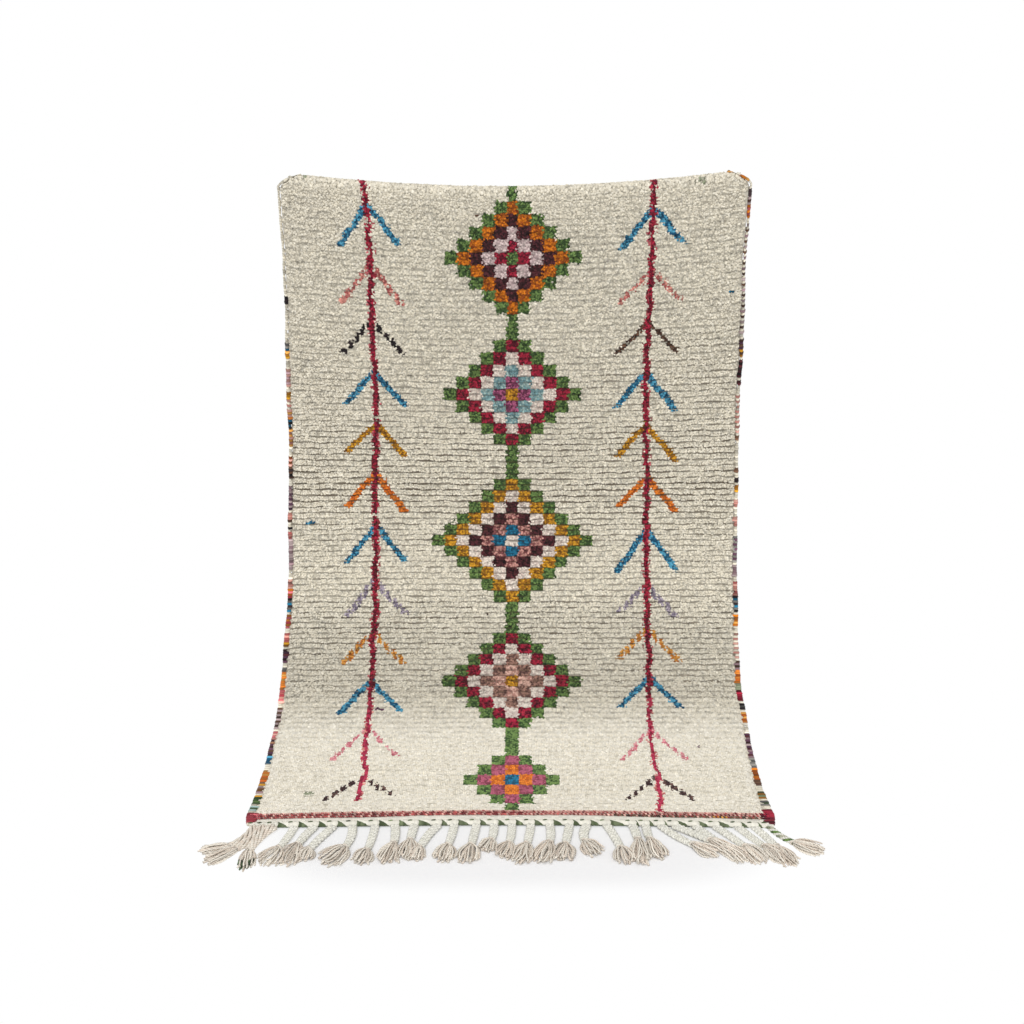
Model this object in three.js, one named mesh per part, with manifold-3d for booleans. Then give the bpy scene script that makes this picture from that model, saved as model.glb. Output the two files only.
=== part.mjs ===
// Azilal rug. A knotted wool rug of about 1.0 by 1.5 m hangs by its top edge, bends forward in
// one long sweep and ends flat on the floor, with 29 braided tassels spread in front of it.
//
// Frame, in millimetres: +Z is up, +X is to the right of someone who faces the pile, and the pile
// faces -Y. The origin is the middle of the flat foot, the underside of the lower end, so the
// floor is Z = 0.
//
// Places on the cloth are told by three numbers: how far across it (x), how far down it from the
// first row of knots (s), and how high above its back (h).

import * as THREE from "three";
import { mergeVertices } from "three/addons/utils/BufferGeometryUtils.js";
import Module from "manifold-3d";

const wasm = await Module();
wasm.setup();

// Driving dimensions, in millimetres unless a name says otherwise.
const WEB = 4.5; // the woven ground under the knots
const PILE = 9; // the knots above it
const ROW = 26; // one step of the pattern down the rug, which is two rows of knots
const FIELD_ROWS = 56; // steps of the pattern from the first row to the striped end
const FIELD_END = ROW * FIELD_ROWS;
const HEM_END = FIELD_END + 29; // end of the flat-woven stripes
const HIDDEN_END = -50; // end of the flap that turns back over the support
const HIDDEN_HEM = 9;
const TURN_FROM = -9.5; // between these two distances the cloth turns over what holds it up
const TURN_TO = 10;
const FLAT_FROM = FIELD_END - 20; // from here on the rug lies flat on the floor
const FOOT = (FLAT_FROM + HEM_END) / 2;
const GAP = 0.3; // between one piece and the next

// How the rug hangs: its angle from plumb, in degrees, at distances down the cloth. Between two
// lines of the table the cloth is one arc.
const DRAPE = [
  { at: HIDDEN_END, angle: 112 },
  { at: TURN_FROM, angle: 112 },
  { at: TURN_TO, angle: 0 },
  { at: 440, angle: 0 },
  { at: 640, angle: 9 },
  { at: 800, angle: 26 },
  { at: 960, angle: 44 },
  { at: 1120, angle: 58 },
  { at: 1275, angle: 73 },
  { at: 1405, angle: 84 },
  { at: FLAT_FROM, angle: 90 },
  { at: HEM_END + 40, angle: 90 },
];

// The outline: from the middle column to the left and right edges, bindings included.
const OUTLINE = [
  { at: 0, left: 481, right: 491 },
  { at: 150, left: 479, right: 489 },
  { at: 370, left: 487, right: 496 },
  { at: 745, left: 500, right: 506 },
  { at: 1115, left: 498, right: 493 },
  { at: 1290, left: 500, right: 495 },
  { at: FIELD_END, left: 512, right: 506 },
];
const CORNER_INSET = 44; // the top corners are drawn in where the cloth turns back
const CORNER_FROM = -5;
const CORNER_RUN = 30;
const EDGE_WAVE = 2.2; // hand-made edges wander by this much

// Unevenness of the hang.
const TOP_SAG = 27; // the top edge hangs this much lower in its middle than at its corners
const TOP_LEAN = 5; // and its right corner sits this much higher than the left
const SAG_HALF = 470;
const SAG_RUN = 800; // the sag has died out this far down
const HEM_ARCH = 9; // the middle of the lower end lies this much further back
const HEM_ARCH_FROM = 1150;
const BILLOW = 4;
const PILE_LUMP = 0.8;

// How finely the body is cut into facets.
const TURN_STEPS = 8;
const NEAR_TOP = [18, 27, 38]; // sections just below the turn
const EVEN_STEPS = 42; // from there down to the flat foot
const RIM_COLUMNS = [0.975, 0.992, 1]; // shares of the half width
const INNER_STEPS = 10;

// The overcast bindings.
const BINDING_WIDTH = 6;
const BINDING_HEIGHT = 8;
const BINDING_GAP = 0.7;
const BINDING_WAIST = 0.86; // how slim it is between two bunches of stitches

// The twined cord.
const CORD_WIDTH = 13;
const CORD_HEIGHT = 8;
const CORD_WAIST = 2.2; // how far it draws in between two tassels

// Tassels.
const BRAID_WIDTH = 13;
const BRAID_HEIGHT = 9;
const KNOT_WIDTH = 16;
const KNOT_HEIGHT = 14;
const KNOT_LENGTH = 15;
const LOCK = 4.4; // side of one lock of yarn
const LOCK_TIP = 0.8; // a lock narrows to this share of its side
const LOWER_LOCKS = 5;
const UPPER_LOCKS = 2;

// One line for each tassel, left to right: the place of its root across the rug, the lean of its
// braid and of its tuft away from straight ahead (degrees, minus is to the left), the length of
// both, and how far its tuft fans to each side (degrees).
const TASSELS = [
  { root: -494, lean: -38, tuftLean: -58, braid: 66, tuft: 50, fan: 10 },
  { root: -477, lean: -24, tuftLean: -44, braid: 68, tuft: 50, fan: 10 },
  { root: -453, lean: -20, tuftLean: -18, braid: 70, tuft: 46, fan: 12 },
  { root: -421, lean: -18, tuftLean: -10, braid: 52, tuft: 58, fan: 13 },
  { root: -380, lean: -27, tuftLean: -6, braid: 53, tuft: 60, fan: 11 },
  { root: -341, lean: -24, tuftLean: -24, braid: 52, tuft: 46, fan: 12 },
  { root: -302, lean: -13, tuftLean: -20, braid: 54, tuft: 54, fan: 14 },
  { root: -264, lean: -3, tuftLean: -4, braid: 60, tuft: 44, fan: 16 },
  { root: -225, lean: 3, tuftLean: -8, braid: 48, tuft: 52, fan: 15 },
  { root: -187, lean: -6, tuftLean: -2, braid: 44, tuft: 54, fan: 12 },
  { root: -148, lean: -22, tuftLean: 4, braid: 55, tuft: 48, fan: 10 },
  { root: -111, lean: -8, tuftLean: -10, braid: 52, tuft: 50, fan: 16 },
  { root: -70, lean: -5, tuftLean: -10, braid: 51, tuft: 50, fan: 16 },
  { root: -32, lean: -4, tuftLean: -20, braid: 42, tuft: 34, fan: 18 },
  { root: 2, lean: -3, tuftLean: -10, braid: 50, tuft: 46, fan: 14 },
  { root: 37, lean: -4, tuftLean: -8, braid: 56, tuft: 50, fan: 14 },
  { root: 74, lean: -2, tuftLean: -10, braid: 51, tuft: 52, fan: 15 },
  { root: 113, lean: -14, tuftLean: -4, braid: 57, tuft: 40, fan: 16 },
  { root: 146, lean: -5, tuftLean: 16, braid: 51, tuft: 42, fan: 18 },
  { root: 186, lean: 18, tuftLean: 10, braid: 66, tuft: 48, fan: 13 },
  { root: 219, lean: 22, tuftLean: 0, braid: 46, tuft: 36, fan: 12 },
  { root: 254, lean: 2, tuftLean: 20, braid: 43, tuft: 52, fan: 13 },
  { root: 285, lean: 42, tuftLean: 30, braid: 76, tuft: 48, fan: 9 },
  { root: 312, lean: 40, tuftLean: 42, braid: 60, tuft: 46, fan: 8 },
  { root: 352, lean: 42, tuftLean: 20, braid: 56, tuft: 66, fan: 10 },
  { root: 391, lean: 36, tuftLean: 20, braid: 64, tuft: 58, fan: 11 },
  { root: 433, lean: 32, tuftLean: 20, braid: 70, tuft: 56, fan: 10 },
  { root: 465, lean: 22, tuftLean: 26, braid: 58, tuft: 58, fan: 9 },
  { root: 493, lean: 28, tuftLean: 48, braid: 68, tuft: 54, fan: 13 },
];

// Finishes.
const WOOL = new THREE.MeshStandardMaterial({ color: 0xded6c2, roughness: 0.95, metalness: 0 });
const BINDING_YARN = new THREE.MeshStandardMaterial({ color: 0x8a5148, roughness: 0.9, metalness: 0 });
const CORD_YARN = new THREE.MeshStandardMaterial({ color: 0xb9bf9a, roughness: 0.9, metalness: 0 });
const TASSEL_YARN = new THREE.MeshStandardMaterial({ color: 0xd9cdbb, roughness: 0.9, metalness: 0 });

const radians = THREE.MathUtils.degToRad;

// The value of one column of a table at a distance, on straight lines between its rows.
function readTable(table, column, at) {
  const next = table.findIndex((row) => row.at >= at);
  if (next === 0) return table[0][column];
  if (next < 0) return table[table.length - 1][column];
  const low = table[next - 1];
  const high = table[next];
  const share = (at - low.at) / (high.at - low.at);
  return low[column] + share * (high[column] - low[column]);
}

// The line that the back of the cloth follows, walked in short steps from the hidden end, and
// then moved so that the foot's middle, once the arch has moved it back, lies at the origin.
const STEP = 0.5;
const drapeLine = walkDrape();

function walkDrape() {
  const end = DRAPE[DRAPE.length - 1].at;
  const count = Math.round((end - HIDDEN_END) / STEP);
  const line = [{ y: 0, z: 0 }];
  for (let i = 1; i <= count; i += 1) {
    const angle = radians(readTable(DRAPE, "angle", HIDDEN_END + (i - 0.5) * STEP));
    const last = line[i - 1];
    line.push({ y: last.y - STEP * Math.sin(angle), z: last.z - STEP * Math.cos(angle) });
  }
  const foot = line[Math.round((FOOT - HIDDEN_END) / STEP)];
  const floor = line[count].z;
  return line.map((point) => ({ y: point.y - foot.y - HEM_ARCH, z: point.z - floor }));
}

// The point of the back line at a distance s down the cloth.
function backPoint(s) {
  const steps = THREE.MathUtils.clamp((s - HIDDEN_END) / STEP, 0, drapeLine.length - 1.001);
  const low = drapeLine[Math.floor(steps)];
  const high = drapeLine[Math.floor(steps) + 1];
  const share = steps - Math.floor(steps);
  return { y: low.y + share * (high.y - low.y), z: low.z + share * (high.z - low.z) };
}

// A place on the cloth, told by x, s and h, as a point in the frame.
function clothPoint(x, s, h) {
  const angle = radians(readTable(DRAPE, "angle", s));
  const back = backPoint(s);
  const fade = 1 - THREE.MathUtils.smoothstep(s, 0, SAG_RUN);
  const across = x / SAG_HALF;
  const lift = fade * (TOP_SAG * across * across + 0.5 * TOP_LEAN * across);
  const arch = THREE.MathUtils.smoothstep(s, HEM_ARCH_FROM, FLAT_FROM);
  const settle = Math.sin(Math.PI * THREE.MathUtils.clamp(s / 1000, 0, 1));
  const billow = BILLOW * settle * Math.sin(x / 105 + 0.8) * Math.cos(s / 210);
  return new THREE.Vector3(
    x,
    back.y - h * Math.cos(angle) + arch * HEM_ARCH * (1 - across * across) + billow,
    back.z + h * Math.sin(angle) + lift,
  );
}

// Distance from the middle column to an edge, side being -1 for the left and 1 for the right.
function edgeAt(side, s) {
  const width = readTable(OUTLINE, side < 0 ? "left" : "right", s);
  const turn = THREE.MathUtils.clamp(1 - (s - CORNER_FROM) / CORNER_RUN, 0, 1);
  const wander = Math.sin(s / 47 + side) + 0.6 * Math.sin(s / 21 + 2 * side);
  const calm = THREE.MathUtils.smoothstep(s, 40, 120) * (1 - THREE.MathUtils.smoothstep(s, 1380, FLAT_FROM));
  return width - CORNER_INSET * turn * turn + 0.5 * EDGE_WAVE * wander * calm;
}

// Six times the volume inside a shape, which is negative where its faces point inwards.
function signedVolume(shape) {
  const corners = shape.attributes.position;
  const order = shape.index;
  const [a, b, c] = [new THREE.Vector3(), new THREE.Vector3(), new THREE.Vector3()];
  let sum = 0;
  for (let i = 0; i < order.count; i += 3) {
    a.fromBufferAttribute(corners, order.getX(i));
    b.fromBufferAttribute(corners, order.getX(i + 1));
    c.fromBufferAttribute(corners, order.getX(i + 2));
    sum += a.dot(b.cross(c));
  }
  return sum;
}

// Turns every face of a shape over.
function turnFaces(shape) {
  const order = shape.index;
  for (let i = 0; i < order.count; i += 3) {
    const first = order.getX(i);
    order.setX(i, order.getX(i + 1));
    order.setX(i + 1, first);
  }
}

// Moves every corner of a shape to a new place, and closes the shape there, faces outwards.
function bend(shape, place) {
  shape.deleteAttribute("normal");
  shape.deleteAttribute("uv");
  const merged = mergeVertices(shape, 1e-4);
  const corners = merged.attributes.position;
  const corner = new THREE.Vector3();
  for (let i = 0; i < corners.count; i += 1) {
    corner.fromBufferAttribute(corners, i);
    const moved = place(corner);
    corners.setXYZ(i, moved.x, moved.y, moved.z);
  }
  if (signedVolume(merged) < 0) turnFaces(merged);
  merged.computeVertexNormals();
  return merged;
}

// Distances down the cloth at which the body has its sections.
function bodySections() {
  const flapMiddle = 0.5 * (HIDDEN_END + TURN_FROM);
  const sections = [HIDDEN_END, HIDDEN_END + HIDDEN_HEM, HIDDEN_END + HIDDEN_HEM + 2, flapMiddle];
  for (let i = 0; i <= TURN_STEPS; i += 1) {
    sections.push(THREE.MathUtils.lerp(TURN_FROM, TURN_TO, i / TURN_STEPS));
  }
  sections.push(...NEAR_TOP);
  const evenFrom = NEAR_TOP[NEAR_TOP.length - 1];
  for (let i = 1; i <= EVEN_STEPS; i += 1) {
    sections.push(THREE.MathUtils.lerp(evenFrom, FLAT_FROM, i / EVEN_STEPS));
  }
  sections.push(FIELD_END - 2, FIELD_END, (FIELD_END + HEM_END) / 2, HEM_END);
  return sections;
}

// Shares of the half width at which the body has its columns.
function bodyColumns() {
  const innerEdge = RIM_COLUMNS[0];
  const inner = [];
  for (let i = 1; i < INNER_STEPS; i += 1) {
    inner.push(THREE.MathUtils.lerp(-innerEdge, innerEdge, i / INNER_STEPS));
  }
  const leftRim = RIM_COLUMNS.map((share) => -share).reverse();
  return [...leftRim, ...inner, ...RIM_COLUMNS];
}

// Height of the cloth's face above its back, with the knots lower at the rims and none on the
// flat-woven ends.
function faceHeight(share, s) {
  const rim = Math.abs(share);
  const round = rim > 0.99 ? (rim > 0.999 ? 0.15 : 0.7) : 1;
  const knotted = s > HIDDEN_END + HIDDEN_HEM && s < FIELD_END;
  const lumps = Math.sin(share * 17 + s / 71) * Math.sin(s / 33 + share * 5) + Math.sin(share * 29 - s / 52);
  return WEB + (knotted ? PILE * round + PILE_LUMP * lumps * (round < 1 ? 0 : 1) : 0);
}

// The rug itself: a slab of many facets laid along the drape.
function rugBody() {
  const sections = bodySections();
  const columns = bodyColumns();
  const slab = new THREE.BoxGeometry(1, 1, 1, columns.length - 1, 1, sections.length - 1);
  return bend(slab, (corner) => {
    const share = columns[Math.round((corner.x + 0.5) * (columns.length - 1))];
    const s = sections[Math.round((corner.z + 0.5) * (sections.length - 1))];
    const inset = BINDING_WIDTH + BINDING_GAP;
    const half = edgeAt(Math.sign(share), s) - inset;
    const h = corner.y > 0 ? faceHeight(share, s) : 0;
    return clothPoint(share * half, s, h);
  });
}

// A round bar of facets that runs along one edge, with the body's own sections, every second of
// them a little slimmer, as between two bunches of stitches.
function binding(side) {
  const sections = bodySections().slice(1);
  const sides = 6;
  const flat = Math.cos(Math.PI / sides);
  const bar = new THREE.CylinderGeometry(1, 1, 1, sides, sections.length - 1);
  return bend(bar, (corner) => {
    const ring = Math.round((0.5 - corner.y) * (sections.length - 1));
    const full = ring % 2 ? 1 : BINDING_WAIST;
    const x = edgeAt(side, sections[ring]) - 0.5 * BINDING_WIDTH * (1 - (corner.x / flat) * full);
    const h = 0.5 * BINDING_HEIGHT * (1 + corner.z * full);
    return clothPoint(side * x, sections[ring], h);
  });
}

// Rings of the end cord across the rug: two at each tassel and one between each two.
function cordRings() {
  const rings = [{ x: -(edgeAt(-1, HEM_END) - 5), waist: 1 }];
  TASSELS.forEach((tassel, i) => {
    const grip = 0.5 * BRAID_WIDTH;
    rings.push({ x: tassel.root - grip, waist: 0 });
    rings.push({ x: tassel.root + grip, waist: 0 });
    const next = TASSELS[i + 1];
    if (next && next.root - tassel.root > 2.6 * grip) {
      rings.push({ x: 0.5 * (tassel.root + next.root), waist: 1 });
    }
  });
  rings.push({ x: edgeAt(1, HEM_END) - 2, waist: 1 });
  return rings.sort((a, b) => a.x - b.x);
}

// The twined cord, parted from the cloth's end and full where a tassel leaves it.
function endCord() {
  const rings = cordRings();
  const sides = 6;
  const flat = Math.cos(Math.PI / sides);
  const bar = new THREE.CylinderGeometry(1, 1, 1, sides, rings.length - 1);
  return bend(bar, (corner) => {
    const ring = rings[Math.round((corner.y + 0.5) * (rings.length - 1))];
    const forward = corner.x / flat;
    const waist = forward > 0 ? ring.waist * CORD_WAIST : 0;
    const s = HEM_END + GAP + 0.5 * CORD_WIDTH * (1 + forward) - waist;
    const h = 0.5 * CORD_HEIGHT * (1 + corner.z * (1 - 0.15 * ring.waist));
    return clothPoint(ring.x, s, h);
  });
}

// A closed shape as a solid that can be joined, and back.
function toSolid(shape) {
  return new wasm.Manifold(
    new wasm.Mesh({
      numProp: 3,
      vertProperties: new Float32Array(shape.attributes.position.array),
      triVerts: new Uint32Array(shape.index.array),
    }),
  );
}

function toShape(solid) {
  const mesh = solid.getMesh();
  const shape = new THREE.BufferGeometry();
  shape.setAttribute("position", new THREE.BufferAttribute(new Float32Array(mesh.vertProperties), 3));
  shape.setIndex(new THREE.BufferAttribute(new Uint32Array(mesh.triVerts), 1));
  shape.computeVertexNormals();
  return shape;
}

// Straight ahead is -Y; a lean turns it to the right.
function heading(lean) {
  return new THREE.Vector3(Math.sin(radians(lean)), -Math.cos(radians(lean)), 0);
}

// Sections of the braid and its knot: place along the length, and half width and half height as
// shares of the braid's own.
function braidSections(tassel) {
  const crossings = 4;
  const sections = [];
  for (let i = 0; i <= crossings; i += 1) {
    sections.push({ at: (i / crossings) * (tassel.braid - 0.5 * KNOT_LENGTH), full: i % 2 ? 0.88 : 1, knot: 0 });
  }
  sections.push({ at: tassel.braid - 0.25 * KNOT_LENGTH, full: 1, knot: 0.8 });
  sections.push({ at: tassel.braid + 0.15 * KNOT_LENGTH, full: 1, knot: 1 });
  sections.push({ at: tassel.braid + 0.5 * KNOT_LENGTH, full: 0.75, knot: 0.5 });
  return sections;
}

// The braid leaves the cord, curves towards its tuft and ends in the knot.
function braidAndKnot(tassel, rootPoint) {
  const sections = braidSections(tassel);
  const bar = new THREE.CylinderGeometry(1, 1, 1, 6, sections.length - 1);
  const turn = 0.35 * (tassel.tuftLean - tassel.lean);
  return bend(bar, (corner) => {
    const section = sections[Math.round((0.5 - corner.y) * (sections.length - 1))];
    const lean = tassel.lean + (turn * section.at) / tassel.braid;
    const ahead = heading(lean);
    const aside = new THREE.Vector3(-ahead.y, ahead.x, 0);
    const halfWidth = 0.5 * THREE.MathUtils.lerp(BRAID_WIDTH * section.full, KNOT_WIDTH, section.knot);
    const halfHeight = 0.5 * THREE.MathUtils.lerp(BRAID_HEIGHT * section.full, KNOT_HEIGHT, section.knot);
    const square = section.at === 0 ? new THREE.Vector3(1, 0, 0) : aside;
    return rootPoint
      .clone()
      .addScaledVector(ahead, section.at)
      .addScaledVector(square, corner.x * halfWidth)
      .setZ(halfHeight * (1 + corner.z));
  });
}

// One lock of yarn: it leaves the knot, falls to its own level and lies there.
function lock(start, lean, length, level) {
  const bar = new THREE.BoxGeometry(1, 1, 1, 1, 1, 2);
  const ahead = heading(lean);
  const aside = new THREE.Vector3(-ahead.y, ahead.x, 0);
  const fall = [0.5 * KNOT_HEIGHT, level + 0.5 * LOCK, level + 0.5 * LOCK * LOCK_TIP];
  const reach = [0, 0.5 * length, length];
  return bend(bar, (corner) => {
    const part = Math.round((corner.z + 0.5) * 2);
    const side = LOCK * (part === 2 ? LOCK_TIP : 1);
    return start
      .clone()
      .addScaledVector(ahead, reach[part])
      .addScaledVector(aside, corner.x * side)
      .setZ(fall[part] + corner.y * side);
  });
}

// The locks of one tuft, in two layers fanned about the tuft's lean.
function tuft(tassel, knotPoint) {
  const locks = [];
  for (let i = 0; i < LOWER_LOCKS; i += 1) {
    const spread = (2 * i) / (LOWER_LOCKS - 1) - 1;
    const length = tassel.tuft * (1 - 0.08 * spread * spread - 0.03 * (i % 2));
    locks.push(lock(knotPoint, tassel.tuftLean + spread * tassel.fan, length, 0));
  }
  for (let i = 0; i < UPPER_LOCKS; i += 1) {
    const spread = (2 * i) / (UPPER_LOCKS - 1) - 1;
    const lean = tassel.tuftLean + 0.62 * spread * tassel.fan;
    locks.push(lock(knotPoint, lean, 0.86 * tassel.tuft, LOCK + 0.4));
  }
  return locks;
}

// A whole tassel, rooted against the cord.
function tasselShape(tassel) {
  const cordFront = HEM_END + GAP + CORD_WIDTH + GAP;
  const rootPoint = clothPoint(tassel.root, cordFront, 0);
  const turned = tassel.lean + 0.35 * (tassel.tuftLean - tassel.lean);
  const knotPoint = rootPoint.clone().addScaledVector(heading(turned), tassel.braid - 2);
  let solid = toSolid(braidAndKnot(tassel, rootPoint));
  tuft(tassel, knotPoint).forEach((piece) => {
    solid = solid.add(toSolid(piece));
  });
  return toShape(solid);
}

function named(name, shape, material) {
  const mesh = new THREE.Mesh(shape, material);
  mesh.name = name;
  return mesh;
}

const rug = new THREE.Group();
rug.add(named("rug_body", rugBody(), WOOL));
rug.add(named("selvedge_left", binding(-1), BINDING_YARN));
rug.add(named("selvedge_right", binding(1), BINDING_YARN));
rug.add(named("end_cord", endCord(), CORD_YARN));

const fringe = new THREE.Group();
TASSELS.forEach((tassel, i) => {
  fringe.add(named(`tassel_${String(i + 1).padStart(2, "0")}`, tasselShape(tassel), TASSEL_YARN));
});
rug.add(fringe);

export default rug;
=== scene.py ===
"""The looks of a hand-knotted azilal rug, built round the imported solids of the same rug.

A wool rug of about 1.0 by 1.5 m hangs by its top edge, bends forward in one long sweep and ends
flat on the floor, with 29 braided tassels in front of it. Places on the cloth are told by three
numbers in millimetres: x across it, s down it from the first row of knots, h above its back.
"""

import logging
from dataclasses import dataclass, field
from enum import Enum
from typing import NamedTuple

import bpy
import numpy as np
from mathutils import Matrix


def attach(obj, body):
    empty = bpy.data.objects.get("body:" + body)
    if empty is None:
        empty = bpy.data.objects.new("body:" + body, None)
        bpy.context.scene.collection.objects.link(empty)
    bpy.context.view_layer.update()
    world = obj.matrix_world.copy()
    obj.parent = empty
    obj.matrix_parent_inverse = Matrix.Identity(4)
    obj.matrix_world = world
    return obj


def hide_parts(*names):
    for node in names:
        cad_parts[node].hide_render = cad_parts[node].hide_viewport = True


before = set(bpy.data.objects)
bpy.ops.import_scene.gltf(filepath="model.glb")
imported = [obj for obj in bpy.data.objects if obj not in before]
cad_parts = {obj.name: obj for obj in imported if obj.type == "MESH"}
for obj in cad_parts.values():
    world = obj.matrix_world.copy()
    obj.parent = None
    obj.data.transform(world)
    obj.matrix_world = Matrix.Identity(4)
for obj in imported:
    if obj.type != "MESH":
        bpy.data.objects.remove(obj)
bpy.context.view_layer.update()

MM = 0.001
SEED = 29
# The yarn colour attribute holds each yarn's colour with painted shade multiplied in.
COLOURS = "yarn"  # the colour attribute that every woollen finish reads
THREAD_MAP = "thread"  # the UV map that a weave or a ply is drawn on
BAKE_MAP = "OFBake"  # the UV map laid out flat as the cloth is

log = logging.getLogger("azilal_rug")


# Numbers and tables


def linear(colour: np.ndarray) -> np.ndarray:
    """Turns screen colours into linear ones.

    Args:
        colour: red, green and blue from 0 to 255, as the last axis.

    Returns:
        The same colours on a linear scale from 0 to 1.
    """
    share = np.asarray(colour, float) / 255
    return np.where(share <= 0.04045, share / 12.92, ((share + 0.055) / 1.055) ** 2.4)


def smoothstep(value: np.ndarray, low: float, high: float) -> np.ndarray:
    """Rises from 0 at low to 1 at high as 3u^2 - 2u^3, with u the clipped share of the way."""
    u = np.clip((value - low) / (high - low), 0, 1)
    return u * u * (3 - 2 * u)


def bell(value: np.ndarray, middle: float, spread: float) -> np.ndarray:
    """A bell of height 1: exp(-((value - middle) / spread)^2)."""
    return np.exp(-(((value - middle) / spread) ** 2))


def turns(count: int) -> np.ndarray:
    """Angles spaced evenly round a full turn, in radians."""
    return 2 * np.pi * np.arange(count) / count


def column(table: tuple, name: str) -> np.ndarray:
    """One named column of a table as an array."""
    return np.array([getattr(row, name) for row in table], float)


class Bend(NamedTuple):
    """The cloth's angle from plumb, in degrees, at a distance down it."""

    at: float
    angle: float


class Width(NamedTuple):
    """The distances from the middle column to both edges at a distance down the cloth."""

    at: float
    left: float
    right: float


class Slip(NamedTuple):
    """How far a row of the pattern lies below its even place, as hand knotting leaves it."""

    row: float
    by: float


# Driving sizes, in millimetres
WEB = 4.5
PILE = 9.0
ROW = 26.0
CELL_ROWS = 56
FIELD_END = ROW * CELL_ROWS
HEM_END = FIELD_END + 29
HIDDEN_END = -50.0
HIDDEN_HEM = 9.0
FLAT_FROM = FIELD_END - 20
FLAT_HALF = 520.0  # half the width that the flat maps are laid out in
KNOTS_HALF = 72  # knots from the middle column to an edge
KNOTS_IN_CELL = 4
BINDING_WIDTH = 6.0
BINDING_HEIGHT = 8.0
BINDING_GAP = 0.7
CORD_GAP = 0.3
CORD_WIDTH = 13.0
KNOTS_END = FIELD_END - 5.0  # the twining has drawn up the last knots
STRIP_END = HEM_END - 7.0

BENDS = (
    Bend(HIDDEN_END, 112),
    Bend(-9.5, 112),
    Bend(10, 0),
    Bend(440, 0),
    Bend(640, 9),
    Bend(800, 26),
    Bend(960, 44),
    Bend(1120, 58),
    Bend(1275, 73),
    Bend(1405, 84),
    Bend(FLAT_FROM, 90),
    Bend(HEM_END + 40, 90),
)

WIDTHS = (
    Width(0, 481, 491),
    Width(150, 479, 489),
    Width(370, 487, 496),
    Width(745, 500, 506),
    Width(1115, 498, 493),
    Width(1290, 500, 495),
    Width(FIELD_END, 512, 506),
    Width(HEM_END, 505, 500),
)

SLIPS = (
    Slip(0, -3),
    Slip(4, 0),
    Slip(10, 0),
    Slip(14, 6),
    Slip(18, 9),
    Slip(21, 4),
    Slip(28, 6),
    Slip(32, -1),
    Slip(35, 2),
    Slip(40, -7),
    Slip(46, -6),
    Slip(51, -9),
    Slip(54, 2),
    Slip(CELL_ROWS, -5),
)


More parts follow.
